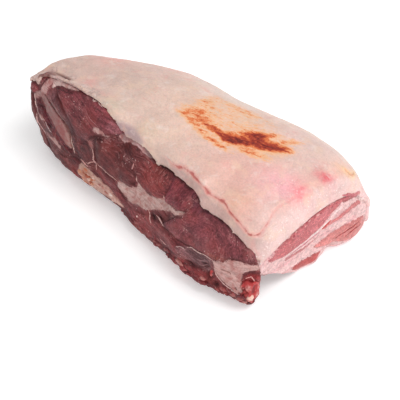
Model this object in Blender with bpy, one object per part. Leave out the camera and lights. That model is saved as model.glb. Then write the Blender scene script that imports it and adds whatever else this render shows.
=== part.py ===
"""Half of a lamb shoulder, raw and bone in, lying on its rib side.

The long front cut shows the muscles, the right end shows thin layers, and the outer fat
lies over the top and down the far side. Sizes are in millimetres and are turned into
metres when a mesh is made. X runs along the piece, +Y goes to the far side and +Z is up.
Everything is shifted at the end, so that the origin is under the middle of the whole piece.
"""

from math import pi

import bpy
import numpy as np
from mathutils import Matrix, Vector
from mathutils.geometry import delaunay_2d_cdt

MM = 0.001
GAP = 0.3  # clear space between pieces that touch

# The outline, measured at stations along the length
STATION_X = (-100, -78, -52, -26, 0, 26, 52, 78, 100)
FOOT_Y = (-52, -58, -58, -57, -57, -59, -63, -60, -54)  # foremost line of the front cut
BAND_Y = (1, 1, 1, 1, 2, 3, 4, 6, 11)  # cut face of the fat, from that edge to the skin
BAND_Z = (3, 3, 4, 5, 7, 9, 10, 13, 20)
CREST_Y = (-26, -21, -14, -7, 0, 5, 10, 12, 12)
CREST_Z = (57, 60, 65, 68, 68, 67, 66, 64, 58)
FLANK_Y = (14, 33, 48, 51, 52, 58, 64, 65, 59)  # widest line of the far side
FLANK_Z = (23, 23, 23, 23, 23, 23, 22, 17, 13)
FAT_TOP = (4, 4, 4, 5, 7, 8, 9, 11, 16)  # thickness of the fat on the crest
FAT_FLANK = (4, 4, 4, 4, 4, 5, 5, 5, 4.5)  # and on the far side

# The fat's lower edge along the front, past the places where muscles push it up: x, y, z
FAT_EDGE = (
    (-100, -50, 53),
    (-94, -48.5, 55.5),
    (-86, -46, 62),
    (-77, -44, 65),
    (-57, -41, 66),
    (-42, -41, 65),
    (-31, -41, 59),
    (-22, -41, 52),
    (-9, -41, 56),
    (5, -41, 50),
    (19, -41, 52),
    (33, -42, 52),
    (42, -44, 53),
    (47, -44, 54),
    (53, -46, 48),
    (57, -45, 47),
    (73, -45, 48),
    (84, -45, 44),
    (93, -44, 40),
    (100, -41, 29),
)

FRONT_BLUNTNESS = 2.3  # 2 is an ellipse, more is squarer
BACK_BLUNTNESS = 2.0
FAT_HEM_ANGLE = 0.55  # how far below the flank the fat ends, in radians of the lower arc
HEEL_TUCK = 5  # how far the far foot lies inside the flank
HEEL_FULLNESS = 0.7  # below 1 the far foot bulges
FOOT_HEIGHT = 8  # height of the foremost line above the table
FOOT_TUCK = 6  # the sole starts this far behind that line
FACE_FULLNESS = 0.8  # below 1 the front cut bulges
EDGE_DROP = 0.8  # the lean face starts this far below the fat's edge
END_ROUND_LEFT = 2.5  # rounding of the fat at the end cuts
END_ROUND_RIGHT = 9
FLANK_ROUNDING = 0.2  # share of that rounding on the far side
LEFT_END_SLANT = 12  # the top of the left end overhangs its foot
SLANT_START_X = -44
SLANT_CURVE = 0.5  # below 1 the overhang starts low
RIGHT_END_REACH = 6  # the low far corner of the right end stands out this far
REACH_START_X = 60
REACH_Y = (-10, 50)  # it grows from the near to the far side
REACH_Z = (38, 13)  # and from the middle height down

# The hollow under the near right corner
ARCH_HEIGHT = 23.5
ARCH_START_X = 45  # where it begins, widening to the right end
ARCH_WALL = (4.5, 7.0)  # its steep wall lies this far behind the front foot
ARCH_END = 38  # where its roof meets the table again

# Sizes of the mesh
RINGS = 50
RING_EVENNESS = 0.75  # 1 spaces the rings evenly, less crowds them towards the ends
FRONT_COLUMNS = 10
BACK_COLUMNS = 9
HEM_COLUMNS = 3
HEEL_ROWS = 3
SOLE_COLUMNS = 12
FACE_ROWS = 14
CAP_SPACING = 7.0
CAP_CLEARANCE = 4.2  # from an end cut's outline to its inner points

# Muscles that swell out of the front cut: x, z, half length, half height, turn, swell
MUSCLES = (
    (-54, 54, 37, 12, -0.08, 3.5),
    (-20, 38, 21, 15, -0.10, 3.5),
    (10, 43, 16, 10, 0.0, 3.0),
    (36, 48, 10.5, 11, 0.0, 4.5),
    (76, 39, 29, 11, -0.22, 3.0),
    (15, 16, 52, 9, 0.08, 2.0),
)
SWELL_FADE = (1 / 3, 1 / 4)  # shares of the height above the foot and below the fat
# Layers on the right end: height of the middle, half thickness, swell
END_LAYERS = ((31, 7, 2.2), (8, 8, 1.8))
LEFT_END_SWELL = 2.0
END_ROUNDING = 9  # width of the strip round an end cut in which it swells

# The blade bone, cut where it meets the front face: x, z of its section
BLADE_SECTION = (
    (-88, 51),
    (-83, 38),
    (-77, 32),
    (-70.5, 27.5),
    (-64.5, 26),
    (-60, 26.5),
    (-63.5, 36),
    (-69, 41.5),
    (-74.5, 44.5),
    (-81.5, 47.5),
)
BLADE_DEPTH = 48
BLADE_TAPER = 0.75  # size of its inner end against its cut end
BLADE_PROUD = 0.8  # how far the cut bone stands out of the muscle
# The bone end in the near right corner, which follows the front cut
CORNER_BONE_X = (74, 102)
CORNER_BONE_INSET = 6.2  # its middle lies this far behind the foremost line
CORNER_BONE_HEIGHT = 13
CORNER_BONE_RADII = (3.9, 10)
CORNER_BONE_RINGS = 7
CORNER_BONE_SIDES = 16
POCKET_REACH = 6  # how far a cutter stands out of the cut that it opens

COLOURS = {
    "lean": ((0.19, 0.055, 0.065), 0.42),
    "fat": ((0.76, 0.57, 0.47), 0.45),
    "bone": ((0.45, 0.16, 0.14), 0.5),
}


def smooth_step(value):
    """0 below 0, 1 above 1 and a soft ramp between."""
    t = np.clip(value, 0.0, 1.0)
    return t * t * (3 - 2 * t)


def rail(values, x, stations=STATION_X):
    """The value at x of the smooth curve through one value for each station."""
    stations = np.array(stations, float)
    heights = np.array(values, float)
    slopes = np.gradient(heights, stations)
    i = int(np.clip(np.searchsorted(stations, x) - 1, 0, len(stations) - 2))
    width = stations[i + 1] - stations[i]
    t = (x - stations[i]) / width
    start = heights[i] * (1 + 2 * t) * (1 - t) ** 2 + slopes[i] * width * t * (1 - t) ** 2
    end = heights[i + 1] * t * t * (3 - 2 * t) + slopes[i + 1] * width * t * t * (t - 1)
    return start + end


def fat_edge(x):
    """The y, z of the fat's lower edge at x."""
    along, depth, height = zip(*FAT_EDGE)
    return np.array([rail(depth, x, along), rail(height, x, along)])


def end_drop(x):
    """How far the outer surface is lower near an end cut, for its rounded edge."""
    right = max(0.0, x - (STATION_X[-1] - END_ROUND_RIGHT))
    left = max(0.0, (STATION_X[0] + END_ROUND_LEFT) - x)
    right_drop = END_ROUND_RIGHT - np.sqrt(END_ROUND_RIGHT**2 - right**2)
    left_drop = END_ROUND_LEFT - np.sqrt(END_ROUND_LEFT**2 - left**2)
    return right_drop + left_drop


def quarter(centre, radii, angles, bluntness):
    """Points on a quarter of a blunt ellipse; angle 0 is level with its centre."""
    level = np.cos(angles) ** (2 / bluntness)
    upright = np.sin(angles) ** (2 / bluntness)
    return np.stack([centre[0] + radii[0] * level, centre[1] + radii[1] * upright], 1)


def roof(front, crest, flank, blunt_front):
    """Section of a layer's surface, from its front edge over the crest to the fat's hem.

    With a blunt front it turns up at once, otherwise it runs inwards from its edge.
    """
    front_angles = np.linspace(0, pi / 2, FRONT_COLUMNS + 1)
    back_angles = np.linspace(pi / 2, 0, BACK_COLUMNS + 1)[1:]
    hem_angles = np.linspace(0, FAT_HEM_ANGLE, HEM_COLUMNS + 1)[1:]
    front_radii = (front[0] - crest[0], crest[1] - front[1])
    back_radii = (flank[0] - crest[0], crest[1] - flank[1])
    front_arc = quarter((crest[0], front[1]), front_radii, front_angles, FRONT_BLUNTNESS)
    if not blunt_front:
        inward = 1 - (front_arc[:, 0] - crest[0]) / front_radii[0]
        front_arc[:, 1] = front[1] + front_radii[1] * inward * (2 - inward)
    back_arc = quarter((crest[0], flank[1]), back_radii, back_angles, BACK_BLUNTNESS)
    hem_arc = quarter((flank[0] - HEEL_TUCK, flank[1]), (HEEL_TUCK, -flank[1]), hem_angles, 2)
    return np.concatenate([front_arc, back_arc, hem_arc])


def fat_surfaces(x):
    """The outer and the inner section of the fat at x."""
    drop = end_drop(x)
    edge = fat_edge(x)
    band = np.array([rail(BAND_Y, x), rail(BAND_Z, x)])
    crest = np.array([rail(CREST_Y, x), rail(CREST_Z, x)])
    flank = np.array([rail(FLANK_Y, x), rail(FLANK_Z, x)])
    band *= 1 - drop / np.linalg.norm(band) / 2
    outer = roof(edge + band, crest - (0, drop), flank - (drop * FLANK_ROUNDING, 0), True)
    inner = roof(edge, crest - (0, rail(FAT_TOP, x)), flank - (rail(FAT_FLANK, x), 0), False)
    return outer, inner


def arch_height(x, distance):
    """Height of the underside, by distance behind the front foot."""
    rise = smooth_step((x - ARCH_START_X) / (STATION_X[-1] - ARCH_START_X))
    wall = smooth_step((distance - ARCH_WALL[0]) / (ARCH_WALL[1] - ARCH_WALL[0]))
    roof_slope = np.clip((ARCH_END - distance) / (ARCH_END - ARCH_WALL[1]), 0, 1)
    return ARCH_HEIGHT * rise * wall * roof_slope


def muscle_swell(x, z):
    """How far the muscles stand out of the front cut at x, z."""
    swell = np.zeros(np.shape(z))
    for centre_x, centre_z, length, height, turn, out in MUSCLES:
        along = (x - centre_x) * np.cos(turn) + (z - centre_z) * np.sin(turn)
        across = (z - centre_z) * np.cos(turn) - (x - centre_x) * np.sin(turn)
        inside = 1 - (along / length) ** 2 - (across / height) ** 2
        swell = np.maximum(swell, out * np.sqrt(np.clip(inside, 0, 1)))
    return swell


def lean_section(x):
    """The closed section of the lean at x: under the fat, far heel, sole and front cut."""
    edge = fat_edge(x)
    crest = np.array([rail(CREST_Y, x), rail(CREST_Z, x) - rail(FAT_TOP, x)])
    flank = np.array([rail(FLANK_Y, x) - rail(FAT_FLANK, x), rail(FLANK_Z, x)])
    under_fat = roof(edge + (GAP, -GAP), crest - (0, GAP), flank - (GAP, 0), False)[1:]
    under_fat[0] = under_fat[:2].mean(0)
    shelf_y = under_fat[0][0]

    heel = under_fat[-1]
    heel_foot = np.array([flank[0] - HEEL_TUCK, 0.0])
    heel_angles = np.linspace(0, pi / 2, HEEL_ROWS + 1)[1:]
    heel_arc = np.stack(
        [
            heel_foot[0] + (heel[0] - heel_foot[0]) * np.cos(heel_angles) ** HEEL_FULLNESS,
            heel[1] * (1 - np.sin(heel_angles)),
        ],
        1,
    )

    foot_y = rail(FOOT_Y, x)
    sole_start = foot_y + FOOT_TUCK
    sole_length = heel_foot[0] - sole_start
    far_sole = np.linspace(sole_length, ARCH_WALL[1], SOLE_COLUMNS)[1:]
    distances = np.append(far_sole, (ARCH_WALL[0], 0.0))
    sole = np.stack([sole_start + distances, arch_height(x, distances)], 1)

    top_z = edge[1] - EDGE_DROP
    rows = np.linspace(1, 0, FACE_ROWS)
    face_z = FOOT_HEIGHT + (top_z - FOOT_HEIGHT) * (1 - rows)
    face_y = shelf_y + (foot_y - shelf_y) * np.sin(rows * pi / 2) ** FACE_FULLNESS
    swell = muscle_swell(x, face_z)
    swell *= smooth_step((1 - rows) / SWELL_FADE[0]) * smooth_step(rows / SWELL_FADE[1])
    face = np.stack([face_y - swell, face_z], 1)
    return np.concatenate([under_fat, heel_arc, sole, face])


def front_depth(x, z):
    """The y of the front cut at x, z."""
    face = lean_section(x)[-FACE_ROWS:]
    return float(np.interp(z, face[:, 1], face[:, 0]))


def lengthwise_positions():
    """Ring positions along x, closer together near the ends."""
    even = np.linspace(-1, 1, RINGS)
    crowded = np.sin(even * pi / 2)
    return STATION_X[-1] * (RING_EVENNESS * even + (1 - RING_EVENNESS) * crowded)


def ramp(value, limits):
    """A soft step from 0 at the first limit to 1 at the second."""
    return smooth_step((value - limits[0]) / (limits[1] - limits[0]))


def slanted(points):
    """Points with the left end's overhang and the right end's low far corner."""
    moved = np.array(points, float)
    x, y, z = moved.T
    overhang = ramp(x, (SLANT_START_X, STATION_X[0])) * (z / max(CREST_Z)) ** SLANT_CURVE
    reach = ramp(x, (REACH_START_X, STATION_X[-1])) * ramp(y, REACH_Y) * ramp(z, REACH_Z)
    moved[:, 0] = x + RIGHT_END_REACH * reach - LEFT_END_SLANT * overhang
    return moved


def tube(sections, positions):
    """Vertices and faces of the skin through equal closed sections at x positions."""
    count = len(sections[0])
    vertices = [(x, y, z) for x, section in zip(positions, sections) for y, z in section]
    faces = []
    for ring in range(len(sections) - 1):
        for k in range(count):
            a = ring * count + k
            b = ring * count + (k + 1) % count
            faces.append((a, b, b + count))
            faces.append((a, b + count, a + count))
    return vertices, faces


def end_relief(z, side):
    """Swelling of an end cut at the height z; side is +1 for the right end."""
    if side < 0:
        return LEFT_END_SWELL
    return sum(out * np.exp(-(((z - middle) / half) ** 2)) for middle, half, out in END_LAYERS)


def end_cap(section, x, side, first_index, new_index):
    """Vertices and faces that close an end, swelling away from its outline."""
    outline = [Vector(point) for point in section]
    count = len(outline)
    lowest = section.min(0)
    highest = section.max(0)
    inner = []
    for y in np.arange(lowest[0], highest[0], CAP_SPACING):
        for z in np.arange(lowest[1] + CAP_SPACING / 2, highest[1], CAP_SPACING):
            if np.min(np.hypot(section[:, 0] - y, section[:, 1] - z)) > CAP_CLEARANCE:
                inner.append(Vector((y, z)))
    edges = [(k, (k + 1) % count) for k in range(count)]
    flat = delaunay_2d_cdt(outline + inner, edges, [], 1, 1e-4)
    vertices = []
    index = {}
    for k in sorted({k for face in flat[2] for k in face}):
        point = flat[0][k]
        source = flat[3][k][0]
        if source < count:
            index[k] = first_index + source
            continue
        clear = np.min(np.hypot(section[:, 0] - point.x, section[:, 1] - point.y))
        swell = end_relief(point.y, side) * smooth_step(clear / END_ROUNDING)
        index[k] = new_index + len(vertices)
        vertices.append((x + side * swell, point.x, point.y))
    faces = []
    for face in flat[2]:
        loop = [index[k] for k in face]
        faces.append(tuple(loop if side > 0 else reversed(loop)))
    return vertices, faces


def make_object(name, vertices, faces, colour):
    """A named object from millimetre points, smooth except at sharp edges."""
    mesh = bpy.data.meshes.new(name)
    mesh.from_pydata([Vector(v) * MM for v in vertices], [], faces)
    mesh.validate()
    mesh.shade_smooth()
    mesh.set_sharp_from_angle(angle=pi / 4)
    thing = bpy.data.objects.new(name, mesh)
    bpy.context.scene.collection.objects.link(thing)
    material = bpy.data.materials.new(name)
    material.use_nodes = True
    shader = material.node_tree.nodes["Principled BSDF"]
    rgb, roughness = COLOURS[colour]
    shader.inputs["Base Color"].default_value = (*rgb, 1.0)
    shader.inputs["Roughness"].default_value = roughness
    mesh.materials.append(material)
    return thing


def fan(ring, centre, side):
    """Faces that close a ring of vertex numbers round a middle vertex."""
    pairs = zip(ring, ring[1:] + ring[:1])
    return [(centre, a, b) if side > 0 else (centre, b, a) for a, b in pairs]


def grown(section, amount):
    """An anticlockwise section, moved outwards by an amount."""
    points = np.array(section, float)
    ahead = np.roll(points, -1, 0) - points
    ahead /= np.linalg.norm(ahead, axis=1)[:, None]
    normals = np.stack([ahead[:, 1], -ahead[:, 0]], 1)
    corners = normals + np.roll(normals, 1, 0)
    corners *= 2 / (corners**2).sum(1)[:, None]
    return points + corners * amount


def blade_solid(growth, proud, depth):
    """Vertices and faces of the blade bone, or of the pocket that holds it."""
    section = grown(BLADE_SECTION, growth)
    middle = section.mean(0)
    inner = middle + (section - middle) * BLADE_TAPER
    deep_y = front_depth(*middle) + depth
    front = [(x, front_depth(x, z) - proud, z) for x, z in section]
    back = [(x, deep_y, z) for x, z in inner]
    front_middle = (middle[0], front_depth(*middle) - proud, middle[1])
    back_middle = (middle[0], deep_y, middle[1])
    count = len(section)
    faces = fan(list(range(count)), 2 * count, 1)
    faces += fan(list(range(count, 2 * count)), 2 * count + 1, -1)
    for k in range(count):
        after = (k + 1) % count
        faces.append((k, count + k, count + after))
        faces.append((k, count + after, after))
    return slanted(front + back + [front_middle, back_middle]), faces


def corner_bone_solid(growth, end_x):
    """Vertices and faces of the corner bone end, or of the pocket that holds it."""
    angles = np.linspace(0, 2 * pi, CORNER_BONE_SIDES, endpoint=False)
    positions = np.linspace(CORNER_BONE_X[0] - growth, end_x, CORNER_BONE_RINGS)
    sections = []
    for x in positions:
        middle_y = rail(FOOT_Y, x) + CORNER_BONE_INSET
        across = middle_y + (CORNER_BONE_RADII[0] + growth) * np.cos(angles)
        upright = CORNER_BONE_HEIGHT + (CORNER_BONE_RADII[1] + growth) * np.sin(angles)
        sections.append(np.stack([across, upright], 1))
    vertices, faces = tube(sections, positions)
    first_ring = list(range(CORNER_BONE_SIDES))
    last_ring = [k + len(vertices) - CORNER_BONE_SIDES for k in first_ring]
    faces += fan(first_ring, len(vertices), -1)
    faces += fan(last_ring, len(vertices) + 1, 1)
    for x, section in ((positions[0], sections[0]), (positions[-1], sections[-1])):
        vertices.append((x, *section.mean(0)))
    return vertices, faces


def cut_pocket(body, name, vertices, faces):
    """Takes a shape out of a body."""
    cutter = make_object(name, vertices, faces, "bone")
    cutter.hide_render = True
    cutter.display_type = "WIRE"
    cut = body.modifiers.new(name, "BOOLEAN")
    cut.operation = "DIFFERENCE"
    cut.solver = "EXACT"
    cut.object = cutter


def make_bones(lean):
    """The two bones that show at the cuts, each in its own pocket in the muscle."""
    make_object("blade_bone", *blade_solid(0, BLADE_PROUD, BLADE_DEPTH), "bone")
    make_object("corner_bone", *corner_bone_solid(0, CORNER_BONE_X[1]), "bone")
    cut_pocket(lean, "blade_pocket", *blade_solid(GAP, POCKET_REACH, BLADE_DEPTH + GAP))
    cut_pocket(lean, "corner_pocket", *corner_bone_solid(GAP, CORNER_BONE_X[1] + POCKET_REACH))


def make_lean():
    """The muscle body, with both end cuts."""
    positions = lengthwise_positions()
    sections = [lean_section(x) for x in positions]
    vertices, faces = tube(sections, positions)
    faces = [tuple(reversed(face)) for face in faces]
    last_ring = (len(sections) - 1) * len(sections[0])
    left_points, left_faces = end_cap(sections[0], positions[0], -1, 0, len(vertices))
    vertices += left_points
    right_points, right_faces = end_cap(sections[-1], positions[-1], 1, last_ring, len(vertices))
    vertices += right_points
    return make_object("lean_shoulder", slanted(vertices), faces + left_faces + right_faces, "lean")


def make_fat():
    """The fat over the top and the far side, one layer with cut edges all round."""
    positions = lengthwise_positions()
    pairs = [fat_surfaces(x) for x in positions]
    sections = [np.concatenate([outer, inner[::-1]]) for outer, inner in pairs]
    vertices, faces = tube(sections, positions)
    faces = [tuple(reversed(face)) for face in faces]
    count = len(sections[0])
    for first, turned in ((0, True), ((len(sections) - 1) * count, False)):
        for k in range(count // 2 - 1):
            a = first + k
            b = first + k + 1
            c = first + count - 2 - k
            d = first + count - 1 - k
            pair = [(a, c, b), (a, d, c)]
            faces += [tuple(reversed(face)) for face in pair] if turned else pair
    return make_object("fat_cap", slanted(vertices), faces, "fat")


def centre_footprint():
    """Moves every mesh so that the origin is under the middle of the visible pieces."""
    pieces = [thing for thing in bpy.data.objects if not thing.hide_render]
    points = np.array([vertex.co for piece in pieces for vertex in piece.data.vertices])
    middle = (points.min(0) + points.max(0)) / 2
    for thing in bpy.data.objects:
        thing.data.transform(Matrix.Translation((-middle[0], -middle[1], 0)))


for old in list(bpy.data.objects):
    bpy.data.objects.remove(old)
make_bones(make_lean())
make_fat()
centre_footprint()
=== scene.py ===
"""Looks of the half lamb shoulder: skin, muscles, fat, bones, floor, light and camera.

Each solid is replaced by a fine mesh of the same form. Places and sizes are in millimetres
in the frame of the solids: the front cut is drawn in x and z, the right end in y and z, and
the top in x and y. Colours are written as they look in even light, from 0 to 255.
"""

from math import cos, pi, radians, sin

import bmesh
import bpy
import numpy as np
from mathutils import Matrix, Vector
from mathutils.bvhtree import BVHTree


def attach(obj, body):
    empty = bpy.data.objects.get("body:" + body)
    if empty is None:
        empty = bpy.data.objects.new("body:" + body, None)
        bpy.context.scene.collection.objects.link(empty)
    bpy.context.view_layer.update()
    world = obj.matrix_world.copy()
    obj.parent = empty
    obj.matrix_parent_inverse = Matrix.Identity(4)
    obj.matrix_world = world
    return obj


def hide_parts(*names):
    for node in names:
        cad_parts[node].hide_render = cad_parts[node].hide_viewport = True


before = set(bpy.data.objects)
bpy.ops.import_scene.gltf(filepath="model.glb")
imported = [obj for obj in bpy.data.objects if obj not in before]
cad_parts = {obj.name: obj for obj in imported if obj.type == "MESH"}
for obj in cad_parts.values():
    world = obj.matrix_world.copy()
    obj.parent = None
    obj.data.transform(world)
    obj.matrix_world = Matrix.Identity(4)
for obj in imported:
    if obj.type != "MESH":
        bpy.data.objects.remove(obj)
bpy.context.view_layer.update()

MM = 0.001

# Camera
VIEW_AZIMUTH = 47
VIEW_ELEVATION = 45
VIEW_DISTANCE = 678.6
VIEW_TARGET = (39.56, -33.4, 34.8)
LENS = 97.58  # this and the sensor are in millimetres
SENSOR = 36
NEAREST = 0.01  # in metres

# Light
WHITE = (1, 1, 1, 1)
SKY_STRENGTH = 0.52
LIGHTS = {  # power in watts, size and place in metres
    "key": (6.4, 0.7, (0.4, 0.3, 1.0)),
    "fill": (2.4, 0.6, (0.85, -0.5, 0.5)),
    "front": (0.9, 0.5, (-0.2, -0.95, 0.5)),
}
FLOOR_SIZE = 6.0
FLOOR_TONE = (0.96, 0.96, 0.96, 1)
FLOOR_ROUGHNESS = 0.7
FLOOR_GLOW = 0.25

# Light that bleeds below the moist surfaces: how much farther its red goes than its green and
# blue, and how far that is in millimetres
BLEED_COLOUR = (1.0, 0.35, 0.25)
BLEED_DEPTH = 1.2

# Fineness of the meshes
LEAN_GRID = 1.34
FAT_GRID = 1.4
BONE_GRID = 0.5
RELAX_ROUNDS = 12
BONE_ROUNDS = 6

# Muscles of the front cut: outline in x, z; height of the swell, width of its rounded rim,
# colour and direction of the fibres in degrees
MUSCLES = {
    "shoulder": (
        ((-84.5, 59.5), (-80, 61.8), (-74.5, 62.6), (-70, 63.6), (-64, 64.6), (-59, 66.2),
         (-53, 67.5), (-47, 69), (-38, 68), (-31, 64), (-25, 58), (-22, 52.5), (-30, 52.5),
         (-37.5, 50), (-42, 46), (-47.5, 40), (-53, 31), (-57, 37), (-61, 43.5), (-68, 51),
         (-77.5, 56)),
        1.8, 7.0, (130, 66, 72), -12,
    ),
    "inner_left": (
        ((-57, 34), (-52, 37), (-47, 40.5), (-41, 40), (-37, 36), (-35.5, 32), (-38, 27),
         (-45, 24.5), (-53, 26.5)),
        1.2, 4.0, (112, 56, 60), -30,
    ),
    "oval": (
        ((-38, 47), (-31, 50.5), (-24, 54), (-18.5, 55), (-12.5, 57), (-4, 57), (1, 50),
         (-1, 44), (1, 38), (-1, 32.5), (-9.5, 31.5), (-20, 30), (-28, 31.5), (-35, 36)),
        2.4, 7.0, (102, 53, 55), -14,
    ),
    "red_lobe": (
        ((-7, 50), (-3, 56), (5, 57), (13, 57), (22, 57), (30, 51), (31, 44), (26, 38.4),
         (17, 35.5), (9, 34.8), (3, 37), (-3, 42)),
        2.2, 5.0, (130, 64, 65), -20,
    ),
    "round": (
        ((26, 53), (33, 61), (41.5, 62), (48.5, 60), (50.5, 51), (49, 46), (45.5, 43.5),
         (38, 41.5), (30.5, 38.8), (28.5, 42), (27.5, 48)),
        4.0, 6.0, (126, 60, 68), 78,
    ),
    "loin": (
        ((46, 42), (50.5, 54), (57, 54), (69.5, 54), (79.5, 52), (89, 48), (98, 41),
         (102, 35), (104.2, 30), (101.3, 30.8), (97.4, 33.2), (94.3, 34.4), (91, 34.6),
         (87, 34), (82, 30.8), (78, 29.8), (68.5, 28), (59.5, 27),
         (50, 26.5), (40, 26), (33, 26), (38, 33)),
        2.4, 7.0, (128, 67, 73), -22,
    ),
    "bone_flesh": (
        ((97.4, 20), (97, 24), (98.2, 26.2), (100, 26.6), (102.4, 24.4), (104.6, 20.5), (106, 13),
         (99.5, 13)),
        1.2, 2.5, (146, 52, 54), 75,
    ),
    "long_strip": (
        ((-35, 29), (-27, 29), (-20, 27.5), (-14, 25.5), (-9, 21), (0, 17.5), (12, 19.5),
         (20, 22.5), (29, 25), (38, 24.5), (46, 24.5), (53, 23), (52, 17), (35, 12), (15, 9),
         (0, 12), (-12, 15.5), (-22, 18.5), (-32, 21.5), (-37, 25)),
        0.8, 4.0, (126, 60, 64), -8,
    ),
    "foot": (
        ((-74, 13), (-66, 17), (-57, 22), (-48, 21), (-35, 13), (-20, 8), (0, 9), (20, 7),
         (40, 9), (60, 15), (74, 18), (76, 8), (60, -3), (20, -4), (-20, -4), (-60, -2)),
        0.8, 4.0, (116, 46, 50), -12,
    ),
    "strip_dark": (
        ((-103, 42.5), (-100.8, 44), (-97.6, 43.6), (-93.5, 41.8), (-88, 39), (-81, 35.4),
         (-74, 31.4), (-67, 28), (-61, 26), (-60, 22.5), (-68, 23), (-75, 24), (-82, 25),
         (-90, 27.5), (-96, 30.5), (-99, 34.5), (-101.5, 38)),
        0.6, 2.5, (104, 28, 40), -40,
    ),
    "strip_brown": (
        ((-88, 57), (-84, 58.5), (-76, 54), (-67, 50), (-60, 43), (-56, 35), (-54, 28),
         (-58, 29), (-63, 38), (-70, 43), (-78, 47), (-87, 51)),
        0.9, 2.5, (106, 62, 66), -36,
    ),
    "end_round": (
        ((-110, 50), (-107.3, 52.6), (-104.5, 52.6), (-102.4, 51.6), (-101.2, 50.2), (-102, 47.8),
         (-104, 45.8), (-107, 45), (-111, 45)),
        1.0, 2.5, (150, 68, 72), 60,
    ),
    "edge_left": (
        ((-112, 44), (-106, 44), (-105, 38), (-102, 32), (-99, 24), (-94, 18), (-85, 12),
         (-95, 8), (-104, 20), (-110, 34)),
        0.8, 2.5, (122, 54, 56), -70,
    ),
}
MUSCLE_BASE = (108, 50, 54)
FOOT_RED = (108, 38, 42)
# Painted shade in the seams between the muscles
PAINTED_SEAM_SHADE = (52, 22, 26)
# Over how many millimetres a muscle turns into its neighbours: most do so sharply
SHARP_EDGE = 0.6
SOFT_EDGES = {"red_lobe": 8.0, "inner_left": 3.0}
LOIN_WHORL = (71, 41)  # the fibres of the loin curl round this place in x, z

# Pale tissue of the front cut: outline in x, z, colour and swell
PALE_FRONT = {
    "fat_wrap": (
        ((-113, 53), (-108, 53.6), (-106, 54.4), (-104.4, 54.6), (-102.8, 53.6), (-101.6, 53.4),
         (-100.4, 55.4), (-98.9, 59), (-98, 61.5), (-98.4, 65), (-104, 66), (-113, 64)),
        (208, 178, 168), 1.2,
    ),
    "fell_fold": (
        ((-88, 58.4), (-84.5, 60.2), (-81.7, 61.3), (-78.6, 62.2), (-76.2, 62.4), (-72.9, 63),
         (-68.1, 64), (-63, 65.6), (-58, 67.4), (-60, 71), (-75, 72), (-88, 71)),
        (214, 182, 176), 0.8,
    ),
    "fascia": (
        ((-104.6, 44), (-102.4, 47.6), (-99.3, 49.9), (-97.7, 53.8), (-95.6, 57.7), (-93.7, 61),
         (-91, 63.5), (-88.5, 61.5), (-90, 58), (-91.5, 54.5), (-91.5, 52), (-93.5, 50.4),
         (-96.1, 47.4), (-99, 45.4), (-102.6, 42)),
        (196, 154, 150), 0.6,
    ),
    "bone_cap": (
        ((-98, 47.5), (-93, 50.5), (-89, 50), (-86, 47), (-84, 43.5), (-86, 41.5),
         (-92, 43), (-96, 45)),
        (164, 126, 122), 0.3,
    ),
    "white_seam": (
        ((-13, 29), (-9, 32), (-3, 31.2), (1.8, 33.8), (3.2, 38.5), (5, 36), (9, 34.6),
         (16, 34.2), (23.5, 37.5), (27.5, 40.5), (30.5, 38.3), (36.5, 40.2), (43, 42.5),
         (47.5, 43.2), (44.5, 40), (38, 36), (32, 33.5), (26, 30.2), (20, 27), (14, 23.5),
         (8, 23), (2, 20.8), (-5, 21.2), (-10.5, 23.5)),
        (194, 160, 153), 0.3,
    ),
    "hem_tissue": (
        ((-25.3, 52.8), (-23.4, 51.4), (-21.3, 50.3), (-18.5, 48.9), (-17.1, 50), (-15.8, 51.3),
         (-13.2, 52.4), (-9.8, 53.6), (-5.6, 53.5), (-1.2, 52), (3.3, 51), (4.5, 52.5), (0.1, 55.2),
         (-4.4, 57), (-9.2, 57.8), (-15.4, 56.4), (-21, 55.4)),
        (190, 152, 150), 0.7,
    ),
    "white_patch": (
        ((-41.5, 53.4), (-38.5, 54), (-35.5, 53.2), (-32, 51.8), (-29.5, 50.6), (-33.5, 50.8),
         (-37, 51.2), (-40, 52)),
        (186, 150, 146), 0.1,
    ),
    "joint_tuft": (
        ((-46.5, 41.8), (-43, 42.8), (-40.6, 41.6), (-39.3, 38.6), (-41, 38), (-44, 40)),
        (170, 122, 120), 0.4,
    ),
    "corner": (
        ((78, 28.6), (83, 30.6), (87, 33.4), (91, 34), (94.3, 33.8), (97.4, 32.6),
         (101.3, 30.2), (106, 29), (106, 25), (102, 27.6), (99, 28.2), (97.6, 27.6),
         (96.6, 25.6), (97.2, 21), (98.2, 18), (99.3, 15.5), (96.5, 13.6), (92.5, 14.8),
         (87, 17.4), (82, 20.5), (79, 24.5)),
        (196, 156, 150), 0.9,
    ),
    "stained": (
        ((-50, 21.5), (-43.5, 22.2), (-37.6, 21), (-30.8, 19.6), (-23.6, 18), (-16, 16.4),
         (-8, 14.2), (-6, 12), (-10.4, 10), (-16, 8.7), (-32.5, 8.5), (-40, 8.8), (-48.5, 11),
         (-52, 14), (-51, 18)),
        (210, 168, 154), 0.6,
    ),
    "left_patch": (
        ((-86.9, 21.6), (-83.5, 23), (-80, 24.6), (-78.2, 25.4), (-76.5, 27), (-74.8, 25),
         (-73, 23.2), (-71.4, 21.8), (-69.4, 20.6), (-73, 20), (-77.2, 20.4), (-80.8, 21.4),
         (-83.5, 21)),
        (208, 164, 158), 0.7,
    ),
    "tuft": (
        ((-96.9, 33), (-94.9, 34.5), (-93, 34.7), (-91, 33.5), (-89.8, 31.8), (-92, 31.2),
         (-93.7, 30.3), (-95.4, 31.2)),
        (200, 164, 158), 0.5,
    ),
}
PALE_BASE = (186, 150, 146)
# Pale tissue with a cleaner edge than the rest, and how many times cleaner it is
CLEAN_EDGES = {"fat_wrap": 4.0, "fell_fold": 2.0, "hem_tissue": 2.0, "tuft": 1.5}
BLOOD_SPOT = (-43, 16)  # where blood has stained the fat at the foot, in x, z
BLOOD_STAIN = (204, 120, 84)
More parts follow.
